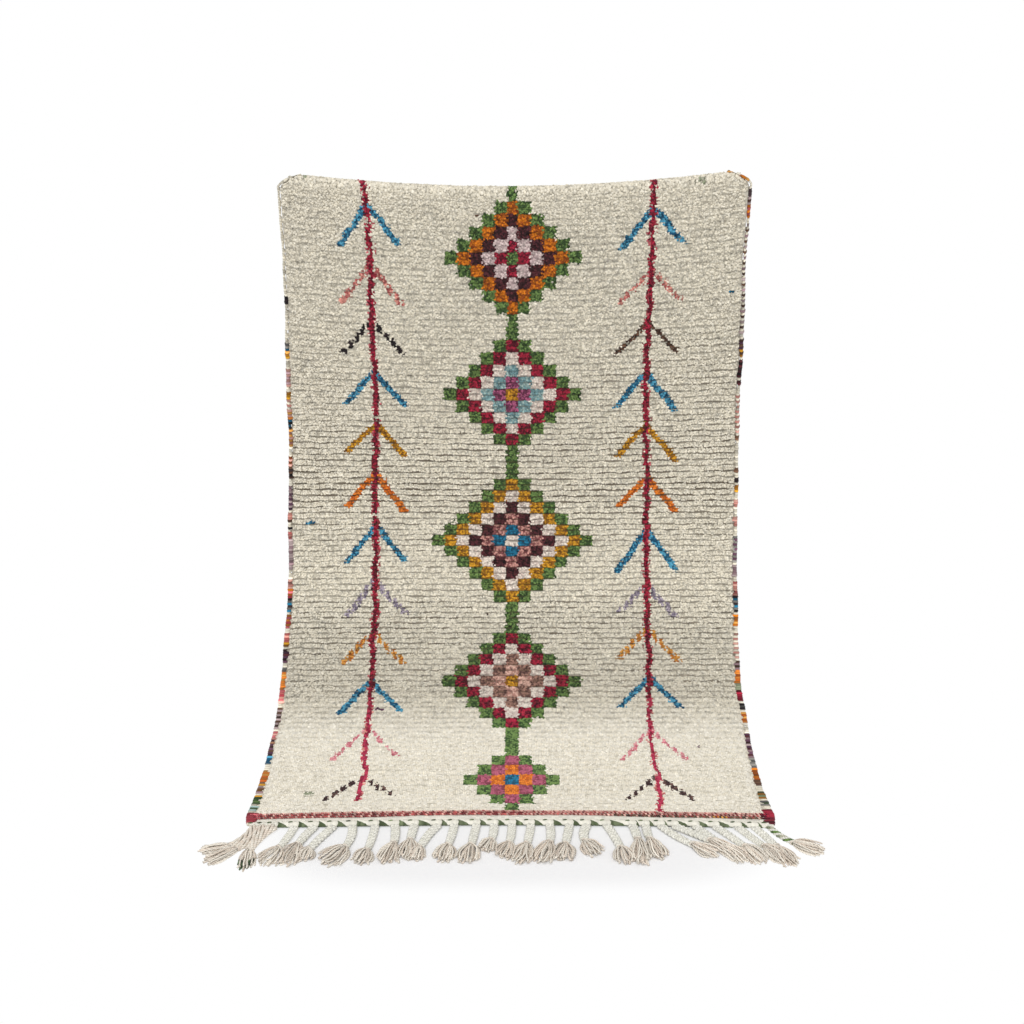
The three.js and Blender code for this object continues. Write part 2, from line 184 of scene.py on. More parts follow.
@dataclass
class Drape:
    """The line in which the cloth hangs, and the formulas that put a place on it into the frame."""

    step: float = 0.5
    hem_arch: float = 9.0
    hem_arch_from: float = 1150.0
    top_sag: float = 27.0
    top_lean: float = 5.0
    sag_half: float = 470.0
    sag_run: float = 800.0
    billow: float = 4.0
    corner_inset: float = 44.0
    corner_from: float = -5.0
    corner_run: float = 30.0
    top_drop: float = 5.0
    edge_wave: float = 2.2
    s: np.ndarray = field(init=False)
    y: np.ndarray = field(init=False)
    z: np.ndarray = field(init=False)

    def __post_init__(self) -> None:
        """Walks down the cloth: each step goes forward by its sine and down by its cosine."""
        self.s = np.arange(HIDDEN_END, BENDS[-1].at + 0.5 * self.step, self.step)
        angle = self.angle(self.s[:-1] + 0.5 * self.step)
        y = np.concatenate([[0], -np.cumsum(np.sin(angle)) * self.step])
        z = np.concatenate([[0], -np.cumsum(np.cos(angle)) * self.step])
        foot = 0.5 * (FLAT_FROM + HEM_END)
        self.y = y - np.interp(foot, self.s, y) - self.hem_arch
        self.z = z - z[-1]

    def angle(self, s: np.ndarray) -> np.ndarray:
        """The cloth's angle from plumb at a distance down it, in radians."""
        return np.radians(np.interp(s, column(BENDS, "at"), column(BENDS, "angle")))

    def points(self, x: np.ndarray, s: np.ndarray, h: np.ndarray) -> np.ndarray:
        """Puts places on the cloth into the frame.

        The back line's point is moved along the face's normal by h. The corners are lifted by
        sag (x / half)^2, the first rows' middle drops a little more, the hem's middle is pushed
        back by arch (1 - (x / half)^2), and one wide soft wave runs over the hanging part.

        Args:
            x: distance across the cloth.
            s: distance down the cloth.
            h: height above its back.

        Returns:
            The points, with x, y and z as the last axis, in millimetres.
        """
        x, s, h = np.broadcast_arrays(x, s, h)
        angle = self.angle(s)
        across = x / self.sag_half
        fade = 1 - smoothstep(s, 0, self.sag_run)
        lift = fade * (self.top_sag * across**2 + 0.5 * self.top_lean * across)
        lift = lift - self.top_drop * (1 - 0.6 * across**2) * (1 - smoothstep(s, -10, 90))
        arch = self.hem_arch * smoothstep(s, self.hem_arch_from, FLAT_FROM) * (1 - across**2)
        settle = np.sin(np.pi * np.clip(s / 1000, 0, 1))
        wave = self.billow * settle * np.sin(x / 105 + 0.8) * np.cos(s / 210)
        y = np.interp(s, self.s, self.y) - h * np.cos(angle) + arch + wave
        z = np.interp(s, self.s, self.z) + h * np.sin(angle) + lift
        return np.stack([x, y, z], axis=-1)

    def directions(self, turned: np.ndarray, s: np.ndarray) -> np.ndarray:
        """Turns directions on the cloth, told as across, down and out of it, into the frame.

        Args:
            turned: the directions, with the three parts as the last axis.
            s: distance down the cloth.

        Returns:
            The directions in the frame.
        """
        angle = self.angle(s)
        across, down, out = turned[..., 0], turned[..., 1], turned[..., 2]
        y = -down * np.sin(angle) - out * np.cos(angle)
        z = -down * np.cos(angle) + out * np.sin(angle)
        return np.stack([across, y, z], axis=-1)

    def pile_top(self, x: np.ndarray, s: np.ndarray) -> np.ndarray:
        """Height of the pile above the cloth's back: even, but for soft lumps, a lower rim at
        both edges, a worn crest where the cloth is turned, and a slope down to the last knots."""
        width = np.where(x > 0, self.edge(1, s), self.edge(-1, s)) - binding_reach(s) - BINDING_GAP
        rim = 0.35 * smoothstep(abs(x), width - 14, width)
        rim = rim + 0.4 * smoothstep(abs(x), width - 1, width + 4)
        crest = 0.7 * (1 - smoothstep(s, -4, 46))
        last = 0.72 * smoothstep(s, KNOTS_END - 46, KNOTS_END - 4)
        lumps = 0.5 * np.sin(x / 27 + 2 * s / ROW) * np.sin(x / 61 - s / ROW)
        return WEB + (PILE + lumps) * (1 - rim) * (1 - crest) * (1 - last)

    def edge(self, side: int, s: np.ndarray, inset: float = 1.0) -> np.ndarray:
        """Distance from the middle column to an edge.

        The table's width, less an inset that grows as a square towards the turned corner, plus
        half the edge's wave times two sines.

        Args:
            side: -1 for the left edge, 1 for the right one.
            s: distance down the cloth.
            inset: how much of the corners' inset to take off.

        Returns:
            The distance at each s.
        """
        width = np.interp(s, column(WIDTHS, "at"), column(WIDTHS, "left" if side < 0 else "right"))
        turn = inset * np.clip(1 - (s - self.corner_from) / self.corner_run, 0, 1)
        calm = smoothstep(s, 40, 120) * (1 - smoothstep(s, 1380, FLAT_FROM))
        wander = np.sin(s / 47 + side) + 0.6 * np.sin(s / 21 + 2 * side)
        return width - self.corner_inset * turn**2 + 0.5 * self.edge_wave * wander * calm

    def across(self, share: np.ndarray, s: np.ndarray, inset: float = 1.0) -> np.ndarray:
        """x at a share of the half width, from -1 at the left binding to 1 at the right one."""
        left = self.edge(-1, s, inset) - BINDING_WIDTH - BINDING_GAP
        right = self.edge(1, s, inset) - BINDING_WIDTH - BINDING_GAP
        return share * np.where(share < 0, left, right)


def binding_reach(s: np.ndarray) -> np.ndarray:
    """How far in from the edge the overcast binding covers the face: more towards the foot."""
    hanging = 0.45 * smoothstep(s, 120, 380) + 0.45 * smoothstep(s, 640, 1050)
    return BINDING_WIDTH * (1 + hanging + 0.9 * smoothstep(s, 1200, 1440))


def row_place(row: np.ndarray) -> np.ndarray:
    """The distance down the cloth of a row of the pattern: its even place and the slip there."""
    return row * ROW + np.interp(row, column(SLIPS, "row"), column(SLIPS, "by"))


# Yarns and the chart of the pattern


class Dye(NamedTuple):
    """A yarn's colour, a second one that some of its ends have, and the share of those ends."""

    tone: tuple[int, int, int]
    second: tuple[int, int, int]
    share: float


class Yarn(Enum):
    """The rug's yarns."""

    CREAM = Dye((227, 219, 200), (235, 228, 211), 0.3)
    COTTON = Dye((231, 229, 219), (224, 222, 210), 0.4)
    SOFT_CREAM = Dye((232, 229, 216), (224, 221, 209), 0.4)
    GREEN = Dye((110, 138, 76), (60, 84, 46), 0.42)
    DEEP_GREEN = Dye((66, 86, 52), (42, 54, 36), 0.4)
    ORANGE = Dye((214, 122, 26), (158, 80, 26), 0.4)
    BRIGHT_ORANGE = Dye((228, 130, 46), (196, 98, 32), 0.4)
    AUBERGINE = Dye((88, 42, 47), (52, 26, 29), 0.4)
    CRIMSON = Dye((166, 36, 60), (98, 18, 38), 0.42)
    LILAC_WHITE = Dye((222, 202, 198), (198, 174, 173), 0.4)
    ROSE_WHITE = Dye((234, 222, 209), (212, 194, 183), 0.35)
    PALE_TEAL = Dye((120, 156, 160), (162, 186, 182), 0.4)
    MUSTARD = Dye((210, 153, 42), (148, 98, 30), 0.42)
    MAGENTA = Dye((172, 90, 124), (112, 54, 82), 0.4)
    BRIGHT_MAGENTA = Dye((180, 94, 116), (138, 66, 82), 0.4)
    SALMON = Dye((202, 148, 137), (134, 80, 80), 0.45)
    TEAL_BLUE = Dye((34, 120, 154), (22, 80, 106), 0.4)
    LIGHT_PINK = Dye((226, 184, 167), (190, 142, 128), 0.4)
    MAUVE = Dye((168, 128, 112), (114, 83, 76), 0.4)
    SKY_BLUE = Dye((84, 160, 190), (28, 88, 120), 0.5)
    CORAL = Dye((224, 152, 138), (176, 92, 90), 0.45)
    BLACK = Dye((52, 40, 42), (26, 20, 24), 0.5)
    BROWN = Dye((110, 80, 62), (66, 46, 38), 0.45)
    LAVENDER = Dye((178, 166, 178), (130, 120, 136), 0.45)
    OCHRE = Dye((222, 160, 78), (196, 118, 48), 0.42)
    PALE_PINK = Dye((218, 150, 152), (192, 104, 116), 0.4)
    SPOTTED = Dye((58, 38, 38), (112, 84, 76), 0.3)
    GREY_GREEN = Dye((140, 146, 120), (190, 188, 168), 0.4)
    GREY = Dye((140, 136, 130), (104, 102, 100), 0.4)
    ROSE_RED = Dye((204, 106, 112), (160, 56, 68), 0.5)
    FADED_ROSE = Dye((200, 150, 138), (176, 120, 110), 0.45)
    FADED_PLUM = Dye((152, 124, 130), (176, 156, 156), 0.45)
    PURPLE = Dye((112, 74, 96), (82, 52, 72), 0.4)
    UNDYED = Dye((237, 229, 216), (227, 214, 199), 0.4)
    BRICK = Dye((160, 78, 76), (122, 50, 52), 0.4)
    BLUSH = Dye((214, 172, 160), (196, 144, 134), 0.4)
    RASPBERRY = Dye((184, 54, 82), (140, 32, 58), 0.4)
    OLIVE = Dye((104, 114, 86), (78, 90, 62), 0.5)


YARNS = tuple(Yarn)


def yarn_number(yarn: Yarn) -> int:
    """The place of a yarn in the list of all yarns."""
    return YARNS.index(yarn)


@dataclass
class Dyebath:
    """Draws each yarn end's colour from its yarn."""

    rng: np.random.Generator
    unevenness: float = 0.045

    def colours(self, numbers: np.ndarray, unevenness: float | None = None) -> np.ndarray:
        """One linear colour for each end: its tone or its second tone, a little lighter or darker,
        and the more so the darker the tone is.

        Args:
            numbers: the yarn number of each end.
            unevenness: the spread of lightness from end to end, or None for the usual one.

        Returns:
            The colours, with red, green and blue as the last axis.
        """
        tones = linear([yarn.value.tone for yarn in YARNS])
        seconds = linear([yarn.value.second for yarn in YARNS])
        shares = np.array([yarn.value.share for yarn in YARNS])
        spread = self.unevenness if unevenness is None else unevenness
        other = self.rng.random(numbers.shape) < shares[numbers]
        found = np.where(other[..., None], seconds[numbers], tones[numbers])
        uneven = spread * (1 + 2.2 * (1 - tones.mean(axis=-1)[numbers]))
        return found * np.exp(uneven * self.rng.standard_normal(numbers.shape))[..., None]


class Lozenge(NamedTuple):
    """A stepped lozenge: its middle row, and its yarns from the middle cell outwards."""

    row: int
    rings: tuple[Yarn, ...]


class Arrow(NamedTuple):
    """A chevron on a side line: rows of its apex and its feet, its yarn, its arms' thickness, how
    far the left foot lies lower and the right one higher, and how broken up the arms are."""

    apex: float
    foot: float
    yarn: Yarn
    thick: float
    tilt: float = 0.0
    gaps: float = -1.1


class Stray(NamedTuple):
    """A few loose ends of another yarn: middle row and knot, half sizes, yarn, and slope."""

    row: float
    knot: float
    high: float
    wide: float
    yarn: Yarn
    slope: float = 0.0


class Wobble(NamedTuple):
    """The knot at which a side line stands in a row."""

    row: float
    knot: float


Y = Yarn
LOZENGES = (
    Lozenge(5, (Y.GREEN, Y.CRIMSON, Y.LILAC_WHITE, Y.AUBERGINE, Y.ORANGE, Y.GREEN)),
    Lozenge(16, (Y.MUSTARD, Y.MAGENTA, Y.PALE_TEAL, Y.ROSE_WHITE, Y.CRIMSON, Y.GREEN)),
    Lozenge(29, (Y.ROSE_WHITE, Y.TEAL_BLUE, Y.SALMON, Y.AUBERGINE, Y.ROSE_WHITE, Y.MUSTARD, Y.GREEN)),
    Lozenge(42, (Y.MUSTARD, Y.LIGHT_PINK, Y.MAUVE, Y.ROSE_WHITE, Y.CRIMSON, Y.GREEN)),
    Lozenge(52, (Y.TEAL_BLUE, Y.BRIGHT_ORANGE, Y.BRIGHT_MAGENTA, Y.GREEN)),
)

LEFT_LINE = (
    Wobble(-1, -46.6),
    Wobble(0.3, -46.4),
    Wobble(1.8, -45.4),
    Wobble(5, -45.2),
    Wobble(6.5, -44.9),
    Wobble(9, -45.3),
    Wobble(12, -45.0),
    Wobble(13.8, -44.4),
    Wobble(18.3, -44.1),
    Wobble(21.5, -44.8),
    Wobble(25.8, -44.8),
    Wobble(28.8, -44.3),
    Wobble(33, -44.7),
    Wobble(36.3, -44.1),
    Wobble(39, -44.6),
    Wobble(41, -44.1),
    Wobble(42.3, -44.5),
    Wobble(44, -44.2),
    Wobble(49.8, -44.1),
    Wobble(51.3, -42.9),
    Wobble(52.8, -42.9),
    Wobble(54.5, -43.6),
    Wobble(CELL_ROWS, -43.8),
)
RIGHT_LINE = (
    Wobble(-1, 42.9),
    Wobble(1.8, 43.3),
    Wobble(3.3, 42.9),
    Wobble(6.8, 43.6),
    Wobble(9.5, 43.0),
    Wobble(12.3, 42.6),
    Wobble(16, 42.6),
    Wobble(18.3, 43.1),
    Wobble(20, 42.8),
    Wobble(22.8, 43.5),
    Wobble(28.8, 43.4),
    Wobble(34.8, 43.7),
    Wobble(37.8, 43.5),
    Wobble(39.3, 44.1),
    Wobble(43.8, 43.6),
    Wobble(45.3, 42.7),
    Wobble(48.3, 42.5),
    Wobble(52.8, 42.9),
    Wobble(54.3, 42.1),
    Wobble(CELL_ROWS, 41.5),
)

LEFT_ARROWS = (
    Arrow(1.6, 4.75, Y.SKY_BLUE, 1.5, 0.22),
    Arrow(6.2, 9.35, Y.CORAL, 1.4, 0.1, -0.85),
    Arrow(10.75, 13.2, Y.BLACK, 1.5, 0.04, -0.6),
    Arrow(14.75, 17.45, Y.SKY_BLUE, 1.6, -0.1),
    Arrow(19.25, 21.9, Y.MUSTARD, 1.65, -0.13),
    Arrow(23.6, 26.65, Y.BRIGHT_ORANGE, 1.7, -0.18),
    Arrow(28.1, 31.45, Y.SKY_BLUE, 1.5, 0.02),
    Arrow(33.1, 36.15, Y.LAVENDER, 1.75, 0.11, -0.7),
    Arrow(37.9, 40.8, Y.OCHRE, 1.85, 0.03, -0.6),
    Arrow(42.45, 45.4, Y.SKY_BLUE, 1.6, 0.11),
    Arrow(46.9, 50.1, Y.PALE_PINK, 1.05, 0.2, -0.75),
    Arrow(52.0, 54.25, Y.SPOTTED, 1.5, 0.2, -0.6),
)
RIGHT_ARROWS = (
    Arrow(2.0, 4.85, Y.SKY_BLUE, 1.65, 0.16),
    Arrow(6.85, 9.25, Y.CORAL, 1.3, 0.06, -0.85),
    Arrow(10.9, 13.25, Y.BROWN, 1.15, 0.01),
    Arrow(14.85, 17.8, Y.SKY_BLUE, 1.6, -0.22),
    Arrow(19.35, 22.3, Y.MUSTARD, 1.5, -0.26),
    Arrow(23.95, 26.65, Y.BRIGHT_ORANGE, 1.65, -0.25),
    Arrow(28.5, 32.25, Y.SKY_BLUE, 1.55, 0.1),
    Arrow(33.5, 36.2, Y.LAVENDER, 1.8, -0.25, -0.7),
    Arrow(37.6, 40.45, Y.OCHRE, 1.85, -0.24, -0.6),
    Arrow(42.15, 44.9, Y.SKY_BLUE, 1.6, 0.03),
    Arrow(47.1, 50.3, Y.PALE_PINK, 1.15, 0.1, -0.75),
    Arrow(52.0, 54.4, Y.SPOTTED, 1.4, 0.0, -0.6),
)

STRAYS = (
    Stray(0.0, -64.2, 0.15, 0.7, Y.GREY_GREEN),
    Stray(0.2, 57.8, 0.2, 1.2, Y.GREY_GREEN),
    Stray(2.1, -11.6, 0.1, 1.0, Y.BROWN),
    Stray(9.0, 68.9, 0.13, 1.1, Y.TEAL_BLUE),
    Stray(27.9, -65.5, 0.15, 1.7, Y.SKY_BLUE),
    Stray(27.9, -20.4, 0.1, 2.4, Y.OLIVE, -0.17),
    Stray(36.0, -8.2, 0.13, 1.1, Y.BROWN),
    Stray(45.1, -41.4, 0.12, 1.7, Y.PURPLE),
    Stray(49.0, 57.2, 0.15, 0.7, Y.PURPLE),
    Stray(53.7, -57.6, 0.15, 1.2, Y.GREY_GREEN),
)


@dataclass
class Chart:
    """The pattern as a grid of yarn numbers, one for each knot, two rows of knots to a cell."""

    arm_knots: float = 9.3
    arm_half: float = 0.78
    line_half: float = 0.86
    faded_from: float = 44.0
    left_end: float = 54.5
    narrow_rows: int = 11
    middle: np.ndarray = field(init=False)
    knots: np.ndarray = field(init=False)

    def __post_init__(self) -> None:
        """Lays the middle column over a cream ground, and then the side columns."""
        rows = (np.arange(2 * CELL_ROWS)[:, None] + 0.5) / 2
        knots = np.arange(-KNOTS_HALF, KNOTS_HALF)[None, :]
        self.middle = np.full((rows.size, knots.size), yarn_number(Yarn.CREAM))
        self.add_middle(self.middle, rows, knots)
        self.knots = self.middle.copy()
        self.add_sides(self.knots, rows, knots + 0.5 + self.shift(rows))

    def shift(self, rows: np.ndarray) -> np.ndarray:
        """How far the knots stand to the side of their even places: half a knot to the left as
        far as the first lozenge goes, so that its three middle knots stand in the middle."""
        return np.where(rows < self.narrow_rows, -0.5, 0.0)

    def cell(self, rows: np.ndarray, knots: np.ndarray) -> np.ndarray:
        """The pattern's column that a knot is in: four knots to a column, and three in the middle
        one of the first lozenge."""
        even = np.floor((knots + 2) / KNOTS_IN_CELL)
        right = np.floor((knots - 2) / KNOTS_IN_CELL) + 1
        left = np.floor((knots + 1) / KNOTS_IN_CELL)
        narrow = np.where(knots > 1, right, np.where(knots < -1, left, 0))
        return np.where(rows < self.narrow_rows, narrow, even)

    def add_middle(self, chart: np.ndarray, rows: np.ndarray, knots: np.ndarray) -> None:
        """Adds the green stem and the lozenges, whose rings are steps of columns plus rows away.

        Args:
            chart: the grid to change.
            rows: the rows in cells, as a column.
            knots: the knots' numbers, as a row.
        """
        columns = self.cell(rows, knots)
        chart[columns == 0] = yarn_number(Yarn.GREEN)
        last = (columns == 0) & (rows > CELL_ROWS - 1)
        chart[last] = yarn_number(Yarn.DEEP_GREEN)
        for lozenge in LOZENGES:
            steps = (abs(columns) + abs(np.floor(rows) - lozenge.row)).astype(int)
            inside = steps < len(lozenge.rings)
            rings = np.array([yarn_number(yarn) for yarn in lozenge.rings])
            chart[inside] = rings[steps[inside]]

    def add_sides(self, numbers: np.ndarray, rows: np.ndarray, places: np.ndarray) -> None:
        """Adds the strays and both side columns: a crimson line with pale, ragged rims and its arrows,
        whose arms slope straight away.

        Args:
            numbers: the yarn numbers to change.
            rows: the pattern's row at each of them, in cells.
            places: how far each stands from the middle, in knots.
        """
        for stray in STRAYS:
            aside = places - stray.knot
            down = rows - stray.row - stray.slope * aside
            near = (aside / stray.wide) ** 2 + (down / stray.high) ** 2 < 1
            numbers[near] = yarn_number(stray.yarn)
        faded = np.broadcast_to(rows > self.faded_from, numbers.shape)
        core = np.where(faded, yarn_number(Yarn.RASPBERRY), yarn_number(Yarn.CRIMSON))
        rim = np.where(faded, yarn_number(Yarn.CORAL), yarn_number(Yarn.ROSE_RED))
        for line, arrows in ((LEFT_LINE, LEFT_ARROWS), (RIGHT_LINE, RIGHT_ARROWS)):
            away = places - self.line_at(line, rows)
            for arrow in arrows:
                foot = arrow.foot - arrow.tilt * np.sign(away)
                share = (rows - arrow.apex) / (foot - arrow.apex)
                arm = abs(abs(away) - self.arm_knots * share) < self.arm_half * arrow.thick
                arm &= np.sin(3.0 * abs(away) + 0.8 * np.sign(away)) > arrow.gaps
                numbers[arm & (share > -0.1) & (share < 1.04)] = yarn_number(arrow.yarn)
            wide = self.line_half * (1 + 0.26 * np.sin(7.3 * rows) * np.sin(1.9 * rows))
            wide = wide * (1 - 0.2 * smoothstep(rows, 42, 46))
            there = rows > -0.25
            if line is LEFT_LINE:
                there &= (abs(rows - 18.6) > 0.16) & (abs(rows - 27.2) > 0.12) & (rows < self.left_end)
            ragged = np.sin(61.0 * places + 47.0 * rows)
            for reach, yarns in ((wide + 0.12 + 0.34 * ragged, rim), (wide * (0.92 + 0.12 * ragged), core)):
                found = (abs(away) < reach) & there
                numbers[found] = yarns[found]

    def line_at(self, line: tuple[Wobble, ...], rows: np.ndarray) -> np.ndarray:
        """Where a side line stands in each row, with a slight wander from knot to knot."""
        return np.interp(rows, column(line, "row"), column(line, "knot")) + 0.25 * np.sin(2.7 * rows)

    def turned(self, knots: np.ndarray, count: int) -> np.ndarray:
        """Rows of knots above the first one of a grid: the stem goes on over the top."""
        rows = np.repeat(knots[:1], count, axis=0)
        rows[rows != yarn_number(Yarn.GREEN)] = yarn_number(Yarn.CREAM)
        return rows


# Meshes


@dataclass
class Shape:
    """A closed mesh before it is handed to Blender, in millimetres.

    faces is a list of whole-number arrays, each with 3 or 4 corners to a face. The other arrays hold one
    row for each point, or one for each corner in the order of the faces. Colours may have painted shade
    multiplied in. A colour's fourth number, if it has one, is how strongly its finish draws seams on it,
    with their painted shade, or its relief with its painted shade.
    """

    points: np.ndarray
    faces: list[np.ndarray]
    colours: np.ndarray | None = None
    corner_colours: np.ndarray | None = None
    threads: np.ndarray | None = None
    flat_map: np.ndarray | None = None
    normals: np.ndarray | None = None

    def corners(self) -> np.ndarray:
        """The point of each corner of each face, in order."""
        return np.concatenate([faces.ravel() for faces in self.faces])

    def triangles(self) -> int:
        """How many triangles the faces make."""
        return sum(len(faces) * (faces.shape[1] - 2) for faces in self.faces)


def join(shapes: list[Shape]) -> Shape:
    """One shape of several that have the same arrays."""
    starts = np.cumsum([0] + [len(shape.points) for shape in shapes[:-1]])
    faces = [part + start for shape, start in zip(shapes, starts) for part in shape.faces]

    def together(name: str) -> np.ndarray | None:
        """The named array of every shape, end to end."""
        found = [getattr(shape, name) for shape in shapes]
        return None if any(part is None for part in found) else np.concatenate(found)

    names = ("colours", "corner_colours", "threads", "flat_map")
    return Shape(together("points"), faces, **{name: together(name) for name in names})


def outward(shape: Shape) -> Shape:
    """Turns every face over if the shape's volume, the sum of its corners' pyramids, is negative."""
    volume = 0.0
    for faces in shape.faces:
        fan = [shape.points[faces[:, i]] for i in range(faces.shape[1])]
        for i in range(1, faces.shape[1] - 1):
            volume += np.einsum("ij,ij->", fan[0], np.cross(fan[i], fan[i + 1]))
    if volume >= 0:
        return shape
    turned = Shape(shape.points, [faces[:, ::-1] for faces in shape.faces], shape.colours)
    for name in ("corner_colours", "threads", "flat_map"):
        rows = getattr(shape, name)
        if rows is not None:
            setattr(turned, name, turned_corners(rows, shape.faces))
    return turned


def turned_corners(rows: np.ndarray, faces: list[np.ndarray]) -> np.ndarray:
    """Corner values in the order that turned faces have."""
    parts, start = [], 0
    for part in faces:
        count = part.size
        block = rows[start : start + count].reshape(len(part), part.shape[1], -1)
        parts.append(block[:, ::-1].reshape(count, -1))
        start += count
    return np.concatenate(parts)


def tubes(rings: np.ndarray, colours: np.ndarray, pitch: float = 1.0) -> Shape:
    """Closed tubes, each through its own rings of points, with a fan over both ends.

    Args:
        rings: the points, as tube, ring, side and coordinate.
        colours: a colour for each tube and ring.
        pitch: how far the thread map goes on from ring to ring.

    Returns:
        One shape of all the tubes.
    """
    count, length, sides, _ = rings.shape
    number = np.arange(count * length * sides).reshape(count, length, sides)
    after = np.roll(number, -1, axis=2)
    walls = np.stack([number[:, :-1], after[:, :-1], after[:, 1:], number[:, 1:]], axis=-1)
    side = np.arange(sides) / sides
    around = np.stack([side, side + 1 / sides, side + 1 / sides, side], axis=-1)
    along = np.arange(length - 1)[:, None] + np.array([0, 0, 1, 1])
    threads = np.empty((*walls.shape, 2))
    threads[..., 0] = around[None, None]
    threads[..., 1] = pitch * along[None, :, None]
    fan = np.arange(1, sides - 1)
    first = np.stack([0 * fan, fan + 1, fan], axis=-1)
    last = np.stack([0 * fan, fan, fan + 1], axis=-1)
    starts = number[:, 0][:, first].reshape(-1, 3)
    ends = number[:, -1][:, last].reshape(-1, 3)
    caps = np.zeros((starts.size + ends.size, 2))
    return outward(
        Shape(
            rings.reshape(-1, 3),
            [walls.reshape(-1, 4), starts, ends],
            np.repeat(colours.reshape(-1, 3), sides, axis=0),
            threads=np.concatenate([threads.reshape(-1, 2), caps]),
        )
    )


def tubes_along(
    paths: np.ndarray,
    wide: np.ndarray,
    high: np.ndarray,
    sides: int,
    colours: np.ndarray,
    pitch: float = 1.0,
) -> Shape:
    """Round or oval tubes along paths that lie about level.

    Each ring is path + aside wide cos(a) + above high sin(a), where aside is level and square to
    the path, and above is square to both.

    Args:
        paths: the points, as tube, ring and coordinate.
        wide: half the width of each ring.
        high: half its height.
        sides: how many points a ring has.
        colours: a colour for each tube and ring.
        pitch: how far the thread map goes on from ring to ring.

    Returns:
        One shape of all the tubes.
    """
    along = np.gradient(paths, axis=1)
    along /= np.linalg.norm(along, axis=-1, keepdims=True)
    aside = np.cross(along, [0.0, 0.0, 1.0])
    aside /= np.linalg.norm(aside, axis=-1, keepdims=True) + 1e-9
    above = np.cross(aside, along)
    turn = turns(sides)
    wide = np.broadcast_to(wide, paths.shape[:2])[..., None, None]
    high = np.broadcast_to(high, paths.shape[:2])[..., None, None]
    rings = (
        paths[:, :, None]
        + aside[:, :, None] * wide * np.cos(turn)[:, None]
        + above[:, :, None] * high * np.sin(turn)[:, None]
    )
    return tubes(rings, colours, pitch)


@dataclass(frozen=True)
class Template:
    """A small closed shape that is repeated many times, with a painted shade, a lightness, for each point.
    """

    points: np.ndarray
    faces: np.ndarray
    shades: np.ndarray

    def scatter(self, origins: np.ndarray, axes: np.ndarray) -> np.ndarray:
        """Every copy's points: origin + u A + v B + w C, with A, B and C the copy's own axes.

        Args:
            origins: a place for each copy.
            axes: three axes for each copy, as copy, axis and coordinate.

        Returns:
            The points, as copy, point and coordinate.
        """
        return origins[:, None] + np.einsum("pk,nkc->npc", self.points, axes)

    def all_faces(self, copies: int) -> np.ndarray:
        """The faces of every copy."""
        starts = np.arange(copies)[:, None, None] * len(self.points)
        return (self.faces[None] + starts).reshape(-1, self.faces.shape[1])

    def laid(
        self, drape: Drape, origins: np.ndarray, axes: np.ndarray, colours: np.ndarray
    ) -> Shape:
        """Copies laid on the cloth, each in a colour of its own.

        Args:
            drape: how the cloth hangs.
            origins: a place on the cloth for each copy.
            axes: three axes for each copy, as copy, axis and coordinate.
            colours: a colour for each copy.

        Returns:
            One shape of all the copies.
        """
        points = drape.points(*np.moveaxis(self.scatter(origins, axes), -1, 0))
        painted = np.repeat(colours, len(self.points), axis=0)
        return outward(Shape(points.reshape(-1, 3), [self.all_faces(len(origins))], painted))


def yarn_end(sides: int) -> Template:
    """A cut end of pile yarn: a point at its root, a full shoulder and a round tip.

    Args:
        sides: how many points the shoulder has.

    Returns:
        A template with the shoulder at radius 1 and height 0, the tip at height 1 and the root at height
        -1, with painted shade: lightness 0 at the root, where shade falls deep between the ends, 0.72 at
        the shoulder and 1 at the tip.
    """
    turn = turns(sides)
    shoulder = np.stack([np.cos(turn), -np.sin(turn), 0 * turn], axis=-1)
    points = np.concatenate([shoulder, [[0, 0, 1.0], [0, 0, -1.0]]])
    j = np.arange(sides)
    k = (j + 1) % sides
    crown = np.stack([j, k, sides + 0 * j], axis=-1)
    foot = np.stack([k, j, sides + 1 + 0 * j], axis=-1)
    # Painted shade: dark at the root, lighter at the shoulder, full at the tip.
    return Template(points, np.concatenate([crown, foot]), np.array([0.72] * sides + [1.0, 0.0]))


def grain(sides: int) -> Template:
    """A stitch like a grain of rice: three rings between two poles on its long axis u."""
    turn = turns(sides)
    poles, rings = [[-1.0, 0.0, 0.0], [1.0, 0.0, 0.0]], []
    for along in (-0.72, 0.0, 0.72):
        radius = np.sqrt(1 - along**2)
        rings.append(
            np.stack([along + 0 * turn, radius * np.cos(turn), radius * np.sin(turn)], axis=-1)
        )
    points = np.concatenate([*rings, poles])
    j = np.arange(sides)
    k = (j + 1) % sides
    walls = []
    for low in (0, sides):
        walls += [np.stack([low + j, low + sides + j, low + k], axis=-1)]
        walls += [np.stack([low + k, low + sides + j, low + sides + k], axis=-1)]
    first, last = 3 * sides, 3 * sides + 1
    walls += [np.stack([j, k, first + 0 * j], axis=-1)]
    walls += [np.stack([2 * sides + k, 2 * sides + j, last + 0 * j], axis=-1)]
    return Template(points, np.concatenate(walls), np.ones(len(points)))


